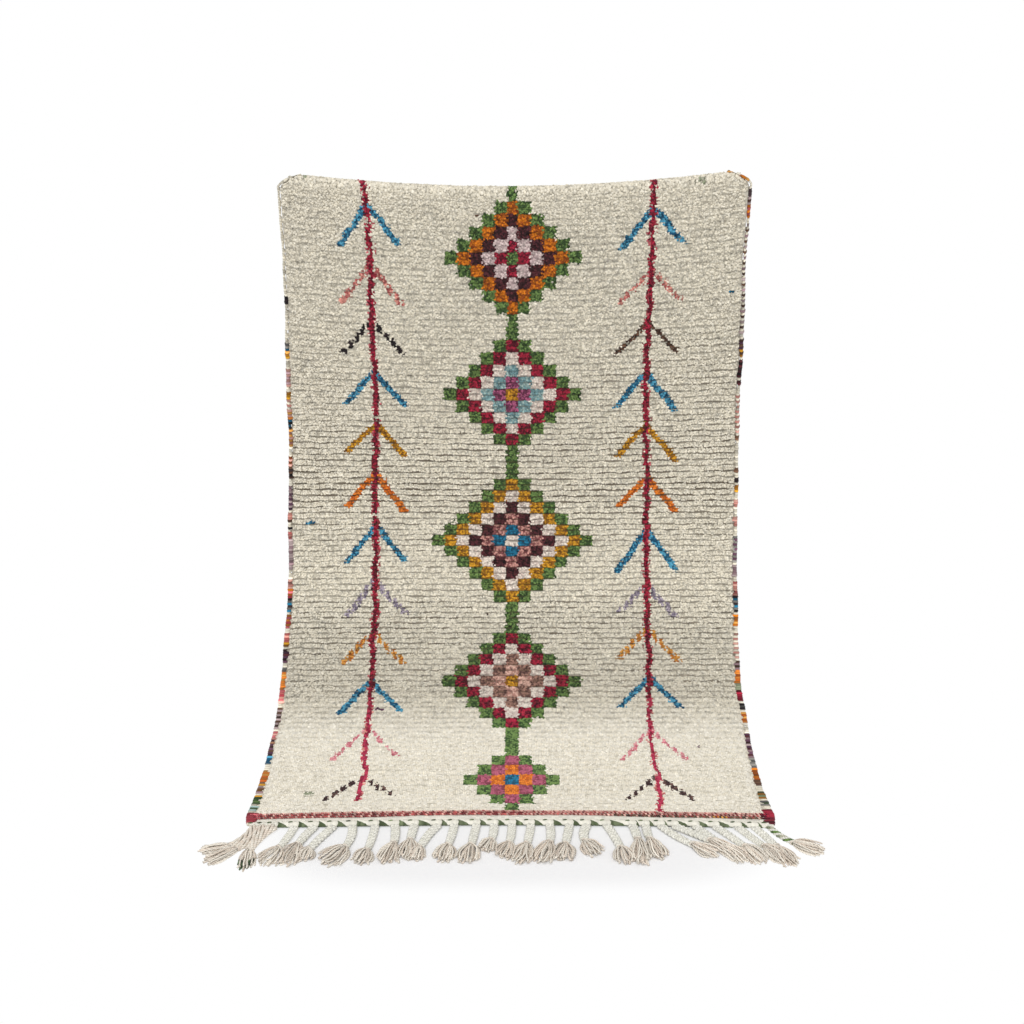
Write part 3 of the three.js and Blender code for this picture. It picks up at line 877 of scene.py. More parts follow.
def make_object(name: str, shape: Shape) -> bpy.types.Object:
    """Hands a shape to Blender, in metres, with its colours and its maps.

    Args:
        name: the piece's name.
        shape: what it is.

    Returns:
        The object, at the origin, unturned and unscaled.
    """
    mesh = bpy.data.meshes.new(name)
    corners = shape.corners().astype(np.int32)
    sizes = np.concatenate([np.full(len(faces), faces.shape[1]) for faces in shape.faces])
    mesh.vertices.add(len(shape.points))
    mesh.vertices.foreach_set("co", (shape.points * MM).astype(np.float32).ravel())
    mesh.loops.add(len(corners))
    mesh.loops.foreach_set("vertex_index", corners)
    mesh.polygons.add(len(sizes))
    mesh.polygons.foreach_set("loop_start", (np.cumsum(sizes) - sizes).astype(np.int32))
    mesh.polygons.foreach_set("use_smooth", np.ones(len(sizes), bool))
    mesh.update(calc_edges=True)
    by_corner = shape.corner_colours is not None
    colours = shape.corner_colours if by_corner else shape.colours
    layer = mesh.color_attributes.new(COLOURS, "FLOAT_COLOR", "CORNER" if by_corner else "POINT")
    if colours.shape[1] == 3:
        colours = np.concatenate([colours, np.ones((len(colours), 1))], axis=1)
    layer.data.foreach_set("color", colours.astype(np.float32).ravel())
    if shape.normals is not None:
        mesh.normals_split_custom_set_from_vertices(shape.normals.astype(np.float32))
    for map_name, places in ((THREAD_MAP, shape.threads), (BAKE_MAP, shape.flat_map)):
        if places is not None:
            laid = mesh.uv_layers.new(name=map_name)
            laid.uv.foreach_set("vector", places.astype(np.float32).ravel())
    made = bpy.data.objects.new(name, mesh)
    bpy.context.scene.collection.objects.link(made)
    return made


def add_piece(
    name: str, shape: Shape, finish: bpy.types.Material, slot: str, *nodes: str
) -> bpy.types.Object:
    """Makes a piece, dresses it, tells the frame what it rides on, and hides the solids that it stands for.

    Args:
        name: the piece's name.
        shape: what it is.
        finish: its material.
        slot: the record's material slot; not used.
        nodes: the solids that it stands for.

    Returns:
        The piece.
    """
    piece = make_object(name, shape)
    piece.data.materials.append(finish)
    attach(piece, "root")
    if nodes:
        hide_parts(*nodes)
    log.info("%s: %d triangles", name, shape.triangles())
    return piece


# Shader groups and finishes


def new_group(
    name: str, inputs: dict[str, tuple[str, object]], outputs: dict[str, str]
) -> bpy.types.NodeTree:
    """An empty shader group with named sockets.

    Args:
        name: the group's name.
        inputs: kind and value of each input.
        outputs: kind of each output.

    Returns:
        The group, with one node for its inputs and one for its outputs.
    """
    group = bpy.data.node_groups.new(name, "ShaderNodeTree")
    for label, (kind, value) in inputs.items():
        socket = group.interface.new_socket(name=label, in_out="INPUT", socket_type=kind)
        if value is not None:
            socket.default_value = value
    for label, kind in outputs.items():
        group.interface.new_socket(name=label, in_out="OUTPUT", socket_type=kind)
    group.nodes.new("NodeGroupInput")
    group.nodes.new("NodeGroupOutput")
    return group


@dataclass
class Bench:
    """A few short ways to add nodes to one tree."""

    tree: bpy.types.NodeTree

    def node(self, kind: str, **settings: object) -> bpy.types.Node:
        """A new node with its settings."""
        made = self.tree.nodes.new(kind)
        for name, value in settings.items():
            setattr(made, name, value)
        return made

    def link(self, source: bpy.types.NodeSocket, target: bpy.types.NodeSocket) -> None:
        """Joins an output to an input."""
        self.tree.links.new(source, target)

    def feed(self, socket: bpy.types.NodeSocket, value: object) -> None:
        """Sets an input to a number or a row of numbers, or links it to an output."""
        if isinstance(value, (int, float, tuple)):
            socket.default_value = value
        else:
            self.link(value, socket)

    def fill(self, node: bpy.types.Node, values: dict[str | int, object]) -> bpy.types.Node:
        """Feeds a node's named or numbered inputs."""
        for key, value in values.items():
            self.feed(node.inputs[key], value)
        return node

    def math(self, operation: str, *values: object) -> bpy.types.NodeSocket:
        """A sum of one kind on sockets or numbers."""
        made = self.node("ShaderNodeMath", operation=operation)
        return self.fill(made, dict(enumerate(values))).outputs[0]

    def vector(self, operation: str, *values: object) -> bpy.types.NodeSocket:
        """A sum of one kind on sockets or rows of three numbers."""
        made = self.node("ShaderNodeVectorMath", operation=operation)
        return self.fill(made, dict(enumerate(values))).outputs[0]

    def noise(self, place: bpy.types.NodeSocket, scale: object, detail: float) -> bpy.types.NodeSocket:
        """Soft noise at a place."""
        made = self.node("ShaderNodeTexNoise")
        return self.fill(made, {"Detail": detail, "Vector": place, "Scale": scale}).outputs["Fac"]

    def scaled(self, colour: bpy.types.NodeSocket, by: bpy.types.NodeSocket) -> bpy.types.NodeSocket:
        """A colour times a number."""
        made = self.node("ShaderNodeVectorMath", operation="SCALE")
        return self.fill(made, {0: colour, "Scale": by}).outputs[0]

    def group(self, tree: bpy.types.NodeTree, **values: object) -> bpy.types.Node:
        """A group node with its inputs fed."""
        return self.fill(self.node("ShaderNodeGroup", node_tree=tree), values)

    def blend(self, share: object, first: object, second: object) -> bpy.types.NodeSocket:
        """Two shaders mixed, with a share of the second."""
        return self.fill(self.node("ShaderNodeMixShader"), {0: share, 1: first, 2: second}).outputs[0]

    def given(self, label: str) -> bpy.types.NodeSocket:
        """What the group on the bench is given."""
        return self.tree.nodes["Group Input"].outputs[label]

    def finish(self, label: str, value: bpy.types.NodeSocket) -> None:
        """Links a value to what the group on the bench gives back."""
        self.link(value, self.tree.nodes["Group Output"].inputs[label])


COLOR, VECTOR, FLOAT = "NodeSocketColor", "NodeSocketVector", "NodeSocketFloat"


def tint_bench(name: str, outputs: dict[str, str], **numbers: float) -> Bench:
    """Starts a group that shades a colour at a place, by some numbers."""
    inputs = {"Colour": (COLOR, (0.8, 0.8, 0.8, 1)), "Place": (VECTOR, None)}
    inputs |= {label: (FLOAT, value) for label, value in numbers.items()}
    return Bench(new_group(name, inputs, outputs))


def add_tint(bench: Bench, noise: bpy.types.NodeSocket, strength: str) -> None:
    """Ends a group with its colour times 1 + strength (2 noise - 1)."""
    swing = bench.math("MULTIPLY_ADD", noise, 2.0, -1.0)
    shade = bench.math("MULTIPLY_ADD", swing, bench.given(strength), 1.0)
    bench.finish("Colour", bench.scaled(bench.given("Colour"), shade))


def fibre_group() -> bpy.types.NodeTree:
    """Wool fibre: fine noise that shades the colour, and the same noise as a height."""
    outputs = {"Colour": COLOR, "Height": FLOAT}
    bench = tint_bench("Wool fibre", outputs, Scale=900.0, Contrast=0.15)
    fine = bench.noise(bench.given("Place"), bench.given("Scale"), 3.0)
    add_tint(bench, fine, "Contrast")
    bench.finish("Height", fine)
    return bench.tree


def drift_group() -> bpy.types.NodeTree:
    """Tone drift: wide soft patches where hand-spun wool is a little darker or lighter."""
    bench = tint_bench("Tone drift", {"Colour": COLOR}, Strength=0.06)
    add_tint(bench, bench.noise(bench.given("Place"), 5.0, 2.0), "Strength")
    return bench.tree


def ends_group() -> bpy.types.NodeTree:
    """Cut plies: round plies with painted shade in the seams where they meet, a mask of 1 - contrast (1.45
    - lightness) seam, where seam rises far from every ply's middle."""
    bench = tint_bench("Cut plies", {"Colour": COLOR}, Scale=165.0, Contrast=0.4)
    cells = bench.node("ShaderNodeTexVoronoi")
    bench.fill(cells, {"Vector": bench.given("Place"), "Scale": bench.given("Scale")})
    seam = bench.node("ShaderNodeMapRange", interpolation_type="SMOOTHSTEP")
    bench.fill(seam, {"From Min": 0.54, "From Max": 0.86, "Value": cells.outputs["Distance"]})
    light = bench.fill(bench.node("ShaderNodeRGBToBW"), {0: bench.given("Colour")})
    depth = bench.math("MULTIPLY_ADD", light.outputs[0], -1.0, 1.45)
    depth = bench.math("MULTIPLY", depth, bench.given("Contrast"))
    # Painted shade: the colour darker in the seams between plies.
    shade = bench.math("SUBTRACT", 1.0, bench.math("MULTIPLY", depth, seam.outputs[0]))
    bench.finish("Colour", bench.scaled(bench.given("Colour"), shade))
    return bench.tree


def relief_bench(name: str) -> tuple[Bench, bpy.types.NodeOutputs]:
    """Starts a relief group: the bench, and the two numbers of the map that it is given."""
    inputs = {"Map": (VECTOR, None), "Strength": (FLOAT, 1.0)}
    bench = Bench(new_group(name, inputs, {"Height": FLOAT, "Shade": FLOAT}))
    parts = bench.fill(bench.node("ShaderNodeSeparateXYZ"), {0: bench.given("Map")})
    return bench, parts.outputs


def add_shade(bench: Bench, height: bpy.types.NodeSocket, rise: float, base: float) -> None:
    """Ends a relief group: its height times its strength, and a painted shade that its colour is times, 1 -
    strength (1 - base - rise height)."""
    bench.finish("Height", bench.math("MULTIPLY", height, bench.given("Strength")))
    shade = bench.math("MULTIPLY_ADD", height, rise, base - 1)
    bench.finish("Shade", bench.math("MULTIPLY_ADD", shade, bench.given("Strength"), 1.0))


def weave_group() -> bpy.types.NodeTree:
    """Knot backs: on a map with one knot to a unit, two rounded bumps to a knot, height |sin(2 pi u)|^0.5
    |sin(pi v)|^0.5, and a painted shade that is darker in the furrows between them."""
    bench, parts = relief_bench("Knot backs")
    heights = []
    for socket, turns in ((parts["X"], 2 * np.pi), (parts["Y"], np.pi)):
        wave = bench.math("SINE", bench.math("MULTIPLY", socket, turns))
        heights.append(bench.math("SQRT", bench.math("ABSOLUTE", wave)))
    add_shade(bench, bench.math("MULTIPLY", *heights), 0.45, 0.6)
    return bench.tree


def ply_group() -> bpy.types.NodeTree:
    """Plied yarn: on a map that goes round the yarn in u and along it in v, slanting strands of height
    |sin(pi (2 u + v))|, and a painted shade that is darker in the grooves between them."""
    bench, parts = relief_bench("Plied yarn")
    slant = bench.math("MULTIPLY_ADD", parts["X"], 2.0, parts["Y"])
    height = bench.math("ABSOLUTE", bench.math("SINE", bench.math("MULTIPLY", slant, np.pi)))
    add_shade(bench, height, 0.3, 0.76)
    return bench.tree


class Relief(Enum):
    """What a finish draws on its thread map."""

    NONE = "none"
    WEAVE = "Knot backs"
    PLY = "Plied yarn"


@dataclass
class Groups:
    """The shader groups, each built once."""

    fibre: bpy.types.NodeTree = field(default_factory=fibre_group)
    drift: bpy.types.NodeTree = field(default_factory=drift_group)
    ends: bpy.types.NodeTree = field(default_factory=ends_group)
    weave: bpy.types.NodeTree = field(default_factory=weave_group)
    ply: bpy.types.NodeTree = field(default_factory=ply_group)


@dataclass(frozen=True)
class Wool:
    """A woollen finish: it reads the yarn's colour with the shade painted into it, and adds fibre, drift
    and, where it has them, plies with painted shade in their seams and its relief with its painted shade.
    """

    name: str
    roughness: float = 0.92
    specular: float = 0.15
    sheen: float = 0.12
    sheen_roughness: float = 0.6
    fibre_scale: float = 900.0
    fibre_contrast: float = 0.14
    drift: float = 0.05
    plies: float = 0.0
    relief: Relief = Relief.NONE
    fibre_depth: float = 0.5
    fibre_height: float = 0.3
    relief_depth: float = 0.8
    relief_height: float = 0.9

    def material(self, groups: Groups) -> bpy.types.Material:
        """Builds the finish.

        Args:
            groups: the shader groups that it uses.

        Returns:
            The material.
        """
        made = bpy.data.materials.new(self.name)
        made.use_nodes = True
        bench = Bench(made.node_tree)
        yarn = bench.node("ShaderNodeVertexColor", layer_name=COLOURS).outputs
        place = bench.node("ShaderNodeTexCoord").outputs["Object"]
        drift = bench.group(groups.drift, Colour=yarn["Color"], Strength=self.drift, Place=place)
        fibre = bench.group(
            groups.fibre,
            Colour=drift.outputs["Colour"],
            Scale=self.fibre_scale,
            Contrast=self.fibre_contrast,
            Place=place,
        )
        colour = fibre.outputs["Colour"]
        bump = bench.node("ShaderNodeBump")
        depth = {"Strength": self.fibre_depth, "Distance": self.fibre_height * MM}
        bench.fill(bump, {**depth, "Height": fibre.outputs["Height"]})
        if self.plies > 0:
            # How strongly the painted seam shade of the plies is drawn.
            strength = bench.math("MULTIPLY", yarn["Alpha"], self.plies)
            ends = bench.group(groups.ends, Colour=colour, Contrast=strength, Place=place)
            colour = ends.outputs["Colour"]
        if self.relief is not Relief.NONE:
            colour, bump = self.add_relief(bench, groups, colour, bump, yarn["Alpha"])
        surface = {
            "Base Color": colour,
            "Normal": bump.outputs["Normal"],
            "Roughness": self.roughness,
            "Specular IOR Level": self.specular,
            "Sheen Weight": self.sheen,
            "Sheen Roughness": self.sheen_roughness,
        }
        bench.fill(made.node_tree.nodes["Principled BSDF"], surface)
        return made

    def add_relief(
        self,
        bench: Bench,
        groups: Groups,
        colour: bpy.types.NodeSocket,
        bump: bpy.types.Node,
        strength: bpy.types.NodeSocket,
    ) -> tuple[bpy.types.NodeSocket, bpy.types.Node]:
        """Adds the weave or the ply to the bump, and its painted shade to the colour.

        Args:
            bench: the material's nodes.
            groups: the shader groups.
            colour: the colour so far.
            bump: the bump so far.
            strength: how strongly to draw it.

        Returns:
            The new colour and the new bump.
        """
        group = groups.weave if self.relief is Relief.WEAVE else groups.ply
        thread = bench.node("ShaderNodeUVMap", uv_map=THREAD_MAP)
        relief = bench.group(group, Map=thread.outputs["UV"], Strength=strength)
        depth = {"Strength": self.relief_depth, "Distance": self.relief_height * MM}
        under = {"Height": relief.outputs["Height"], "Normal": bump.outputs["Normal"]}
        deeper = bench.fill(bench.node("ShaderNodeBump"), {**depth, **under})
        return bench.scaled(colour, relief.outputs["Shade"]), deeper


# The cloth


@dataclass
class KnotRows:
    """The rows of knots from the turned-back end down to the striped one."""

    turned_at: tuple[float, ...] = (-36.0, -25.5, -16.0, -9.5, -4.5, 0.6)
    first_pitch: float = 5.2
    first_down: float = 2.6
    places: np.ndarray = field(init=False)
    rows: np.ndarray = field(init=False)
    pitches: np.ndarray = field(init=False)

    def __post_init__(self) -> None:
        """Places the turned rows from their list and the others by the pattern's rows."""
        rows = (np.arange(2 * CELL_ROWS) + 0.5) / 2
        turned = np.array(self.turned_at)
        self.places = np.concatenate([turned, row_place(rows)])
        self.places[len(turned)] += self.first_down
        self.rows = np.concatenate([turned / ROW, rows])
        self.pitches = np.gradient(self.places)
        self.pitches[: len(turned)] = np.maximum(self.pitches[: len(turned)], self.first_pitch)
        self.pitches[len(turned)] = 0.5 * ROW

    def openness(self, x: np.ndarray, row: np.ndarray) -> np.ndarray:
        """How far neighbouring rows of knots part, from 0 to 1.

        A bell about the rows where the rug starts to bend, a weaker one higher on the right, and
        a little everywhere, stronger in some rows than in others and broken up along each row.

        Args:
            x: distance across.
            row: the row of the pattern.

        Returns:
            The openness at each place.
        """
        bend = 0.78 * bell(row, 25.5, np.where(row > 25.5, 3.6, 6.0))
        right = 0.28 * bell(row, 14.0, 5.0) * smoothstep(x, 60, 260)
        bottom = 0.55 * bell(row, 38.5, 5.5)
        little = 0.13 * smoothstep(row, 9, 18) * (1 - smoothstep(row, 43, 49))
        twist = np.sin(x / 43 + 1.1 * row) + np.sin(x / 97 - 0.7 * row + 1)
        broken = 0.7 + 0.42 * np.sin(x / 23 + 5.3 * row + twist) * np.sin(x / 61 - 2.9 * row + twist)
        uneven = 0.82 + 0.34 * np.sin(9.7 * row) * np.sin(4.3 * row + 2)
        return np.clip((bend + right + bottom + little) * broken * uneven, 0, 1)


def furrows(x: np.ndarray, row: np.ndarray) -> np.ndarray:
    """How dark the painted shade in the furrow between two rows of knots is: broken up along it, gone on
    the floor.
    """
    twist = 2 * np.sin(x / 41 - 3 * row)
    broken = 0.6 + 0.4 * np.sin(x / 13 + 7.1 * row + twist) + 0.15 * np.sin(x / 4.1 + 5 * row)
    there = 0.4 + 0.6 * smoothstep(row, 0, 5)
    return 0.62 * there * (1 - smoothstep(row, 45, 50)) * np.clip(broken, 0, 1)


class EndPlace(NamedTuple):
    """Where a yarn end stands in its knot, in knots across and rows of knots down."""

    aside: float
    down: float


END_PLACES = (
    EndPlace(-0.32, -0.31),
    EndPlace(0.19, -0.27),
    EndPlace(-0.04, 0.01),
    EndPlace(-0.26, 0.3),
    EndPlace(0.3, 0.25),
)


FLOOR_TINT = (-0.015, 0.0, 0.045)  # how much bluer the calm pile is


@dataclass
class Pile:
    """The knots' cut ends, five to a knot, standing out of the woven ground."""

    drape: Drape
    chart: Chart
    rows: KnotRows
    dyebath: Dyebath
    rng: np.random.Generator
    pieces: int = 4
    end_sides: int = 4
    half_wide: float = 3.1
    half_high: float = 2.9
    crown: float = 1.5
    foot: float = 3.6
    flare: float = 50.0
    # How far the painted furrow shade reaches either side of a furrow, in millimetres.
    line_half: float = 2.6
    beside_binding: float = 1.6

    def build(self, finish: bpy.types.Material) -> list[bpy.types.Object]:
        """Makes the pile in pieces, each a run of rows.

        Args:
            finish: the pile's finish.

        Returns:
            The pieces.
        """
        count = len(self.rows.places)
        middle = self.chart.middle
        numbers = np.concatenate([self.chart.turned(middle, len(self.rows.turned_at)), middle])
        made = []
        for index, part in enumerate(np.array_split(np.arange(count), self.pieces)):
            shape = self.run_of_rows(part, numbers[part])
            made.append(add_piece(f"pile_{index + 1}", shape, finish, "pile_wool"))
        return made

    def run_of_rows(self, part: np.ndarray, numbers: np.ndarray) -> Shape:
        """The yarn ends of some rows of knots.

        Every knot's five ends stand as on a die, mirrored from knot to knot. The rows wander by
        two sines, close up towards their middles where they part, and each end leans, turns and
        varies by chance. Towards the floor the ends are fuller and more even. The side columns
        are followed end by end, as their loose knots lean along the slanting arms, and an end at
        the rim of a cell may be caught in the next one.

        Args:
            part: which rows.
            numbers: the yarn of each knot in them, without the side columns.

        Returns:
            The shape.
        """
        draw = self.rng
        knots = np.arange(-KNOTS_HALF, KNOTS_HALF)
        shape = (len(part), len(knots), len(END_PLACES))
        rows = np.broadcast_to(self.rows.rows[part][:, None, None], shape)
        pitch = np.broadcast_to(self.rows.pitches[part][:, None, None], shape)
        middle = np.broadcast_to(self.rows.places[part][:, None, None], shape)
        mirror = np.where((part[:, None, None] + knots[None, :, None]) % 2 == 0, 1, -1)
        closed = 1 - smoothstep(rows, 9, 20) * (1 - smoothstep(rows, 40, 47))
        aside = mirror * column(END_PLACES, "aside") + draw.uniform(-0.18, 0.18, shape)
        aside = aside + draw.normal(0, 0.25, (len(part), 1, 1)) + draw.normal(0, 0.19, (*shape[:2], 1))
        down = column(END_PLACES, "down") + (0.1 + 0.13 * closed) * draw.uniform(-1, 1, shape)
        place = knots[None, :, None] + 0.5 + aside + self.chart.shift(rows)
        x = self.drape.across(place / KNOTS_HALF, middle, inset=0.0)
        reach = place - self.chart.shift(rows) + draw.normal(0, 0.24, shape)
        chosen = np.clip(np.floor(reach).astype(int) + KNOTS_HALF, 0, len(knots) - 1)
        yarns = numbers[np.arange(len(part))[:, None, None], chosen]
        self.chart.add_sides(yarns, rows + down * pitch / ROW, place)
        opened = self.rows.openness(x, rows)
        calm = smoothstep(rows, 43, 49)
        crest = 1 - smoothstep(middle, 2, 16)
        wander = 1.5 * np.sin(x / 19 + 1.7 * rows) * np.sin(x / 47 - rows)
        wander = wander + 0.9 * np.sin(x / 7.4 - 2.9 * rows)
        course = middle + wander * (1 - 0.7 * crest)
        s = course + down * pitch * (1 - 0.27 * opened)
        s = np.clip(s, HIDDEN_END + HIDDEN_HEM + 2, row_place(CELL_ROWS) - 1)
        size = np.exp(0.1 * draw.standard_normal(shape))
        size = size * (1 + 0.36 * calm - 0.08 * opened + 0.1 * crest)
        top = self.drape.pile_top(x, s) + 0.55 * (1 - 0.9 * calm) * draw.standard_normal(shape)
        axes = self.axes(size, rows, down * opened, calm)
        edge = np.where(x > 0, self.drape.edge(1, middle), self.drape.edge(-1, middle))
        kept = abs(x) < edge - binding_reach(middle) - BINDING_GAP - self.beside_binding
        shoulders = np.stack([x, s, top - self.crown], axis=-1)[kept]
        axes, calm, opened = axes[kept], calm[kept], opened[kept]
        end = yarn_end(self.end_sides)
        places = end.scatter(shoulders, axes)
        places[:, -1] = shoulders - [0, 0, self.foot]
        colours = self.dyebath.colours(yarns[kept])
        below = places[..., 1] - course[kept][:, None]
        # Painted shade: each end darker towards its root, in open pile, and along the furrows between rows.
        light = self.lightness(end, rows[kept], calm, opened)
        # Painted shade along the furrows between two rows of knots.
        light = light * self.beside_furrow_shade(places[..., 0], below, rows[kept], pitch[kept])
        colours = colours * (1 + calm[:, None] * np.array(FLOOR_TINT))
        # The fourth number: how strongly the finish paints shade into the seams between plies, nearly none
        # on the floor.
        seams = np.broadcast_to((1 - 0.95 * calm)[:, None, None], (*light.shape, 1))
        painted = np.concatenate([colours[:, None] * light[..., None], seams], axis=-1)
        points = self.drape.points(*np.moveaxis(places, -1, 0))
        faces = end.all_faces(len(places))
        flat = self.flat_places(places, self.rows.places[part])
        return Shape(
            points.reshape(-1, 3),
            [faces],
            painted.reshape(-1, 4),
            flat_map=flat.reshape(-1, 2)[faces.ravel()],
            normals=self.soft_normals(end, axes, calm, places[..., 1]).reshape(-1, 3),
        )

    def axes(
        self, size: np.ndarray, rows: np.ndarray, parted: np.ndarray, calm: np.ndarray
    ) -> np.ndarray:
        """Each end's own axes: two level ones turned by chance, and the one that it leans along.

        Args:
            size: how large each end is.
            rows: its row of the pattern.
            parted: how far down its row it stands, where the rows part.
            calm: how even the pile is round it.

        Returns:
            The axes, with axis and coordinate as the last two.
        """
        draw, shape = self.rng, size.shape
        turn = draw.uniform(0, 2 * np.pi, shape)
        loose = 0.4 - 0.34 * smoothstep(rows, 36, 48)
        lean_x = loose * draw.standard_normal(shape)
        lean_s = 0.25 + loose * draw.standard_normal(shape) - 0.8 * parted
        wide, high = self.half_wide * size, self.half_high * size
        zero = np.zeros(shape)
        first = np.stack([wide * np.cos(turn), high * np.sin(turn), zero], axis=-1)
        second = np.stack([-wide * np.sin(turn), high * np.cos(turn), zero], axis=-1)
        third = np.stack([lean_x, lean_s, self.crown * (1 - 0.5 * calm)], axis=-1)
        return np.stack([first, second, third], axis=-2)

    def lightness(
        self, end: Template, rows: np.ndarray, calm: np.ndarray, opened: np.ndarray
    ) -> np.ndarray:
        """Painted shade on each point: light at the tips and darker down to the root, where shade falls
        between the ends, more so in open pile and less in the calm pile, with the tips a little darker from
        row 33 on, most round row 43.

        Args:
            end: the yarn end's template.
            rows: each end's row of the pattern.
            calm: how even the pile is round each end.
            opened: how far the rows part there.

        Returns:
            The lightness, as end and point.
        """
        # Painted shade at the root: darker in open pile, lighter in the calm pile.
        dark = 0.66 + 0.27 * calm - 0.12 * opened
        # Painted shade: the tips a little darker from row 33 on, most round row 43.
        light = 1.06 * (1 - 0.11 * smoothstep(rows, 33, 38) - 0.11 * bell(rows, 43, 4.5))
        return dark[:, None] + (light - dark)[:, None] * end.shades

    def beside_furrow_shade(
        self, x: np.ndarray, below: np.ndarray, rows: np.ndarray, pitch: np.ndarray
    ) -> np.ndarray:
        """How much lightness is left by the painted shade along the furrows between two rows of knots.

        Args:
            x: the points' distance across.
            below: how far each point lies below the middle of its row of knots.
            rows: each end's row of the pattern.
            pitch: the distance from row to row there.

        Returns:
            The share, as end and point.
        """
        lines = furrows(x, rows[:, None] + 0.25 * np.sign(below))
        apart = abs(abs(below) - 0.5 * pitch[:, None])
        return 1 - lines * np.clip(1 - apart / self.line_half, 0, 1)

    def soft_normals(
        self, end: Template, axes: np.ndarray, calm: np.ndarray, s: np.ndarray
    ) -> np.ndarray:
        """Normals that spread from the tip as on a low dome, because wool scatters light.

        Args:
            end: the yarn end's template.
            axes: each end's own axes.
            calm: how even the pile is round each end.
            s: where the points are.

        Returns:
            A normal for each point.
        """
        flare = np.radians(self.flare - 0.55 * self.flare * calm)[:, None]
        across = axes[:, 0] / np.linalg.norm(axes[:, 0], axis=-1, keepdims=True)
        down = axes[:, 1] / np.linalg.norm(axes[:, 1], axis=-1, keepdims=True)
        out = axes[:, 2] / np.linalg.norm(axes[:, 2], axis=-1, keepdims=True)
        around = end.points[:, :2]
        spread = np.einsum("p,nk->npk", around[:, 0], across) + np.einsum("p,nk->npk", around[:, 1], down)
        rise = np.where(end.points[:, 2] < 0, -1.0, 1.0)
        turned = spread * np.sin(flare)[..., None] + out[:, None] * (rise * np.cos(flare))[..., None]
        return self.drape.directions(turned, s)

    def flat_places(self, places: np.ndarray, rows: np.ndarray) -> np.ndarray:
        """Lays the ends' points out flat as the cloth is: across is u and down is 1 - v."""
        low, high = rows[0] - ROW, rows[-1] + ROW
        across = (places[..., 0] + FLAT_HALF) / (2 * FLAT_HALF)
        down = (places[..., 1] - low) / (high - low)
        return np.clip(np.stack([across, 1 - down], axis=-1), 0.001, 0.999)


# The deep weft's brown, darkened as painted shade in the gaps where rows part.
DEEP_WEFT_AND_SHADE = (104, 88, 68)


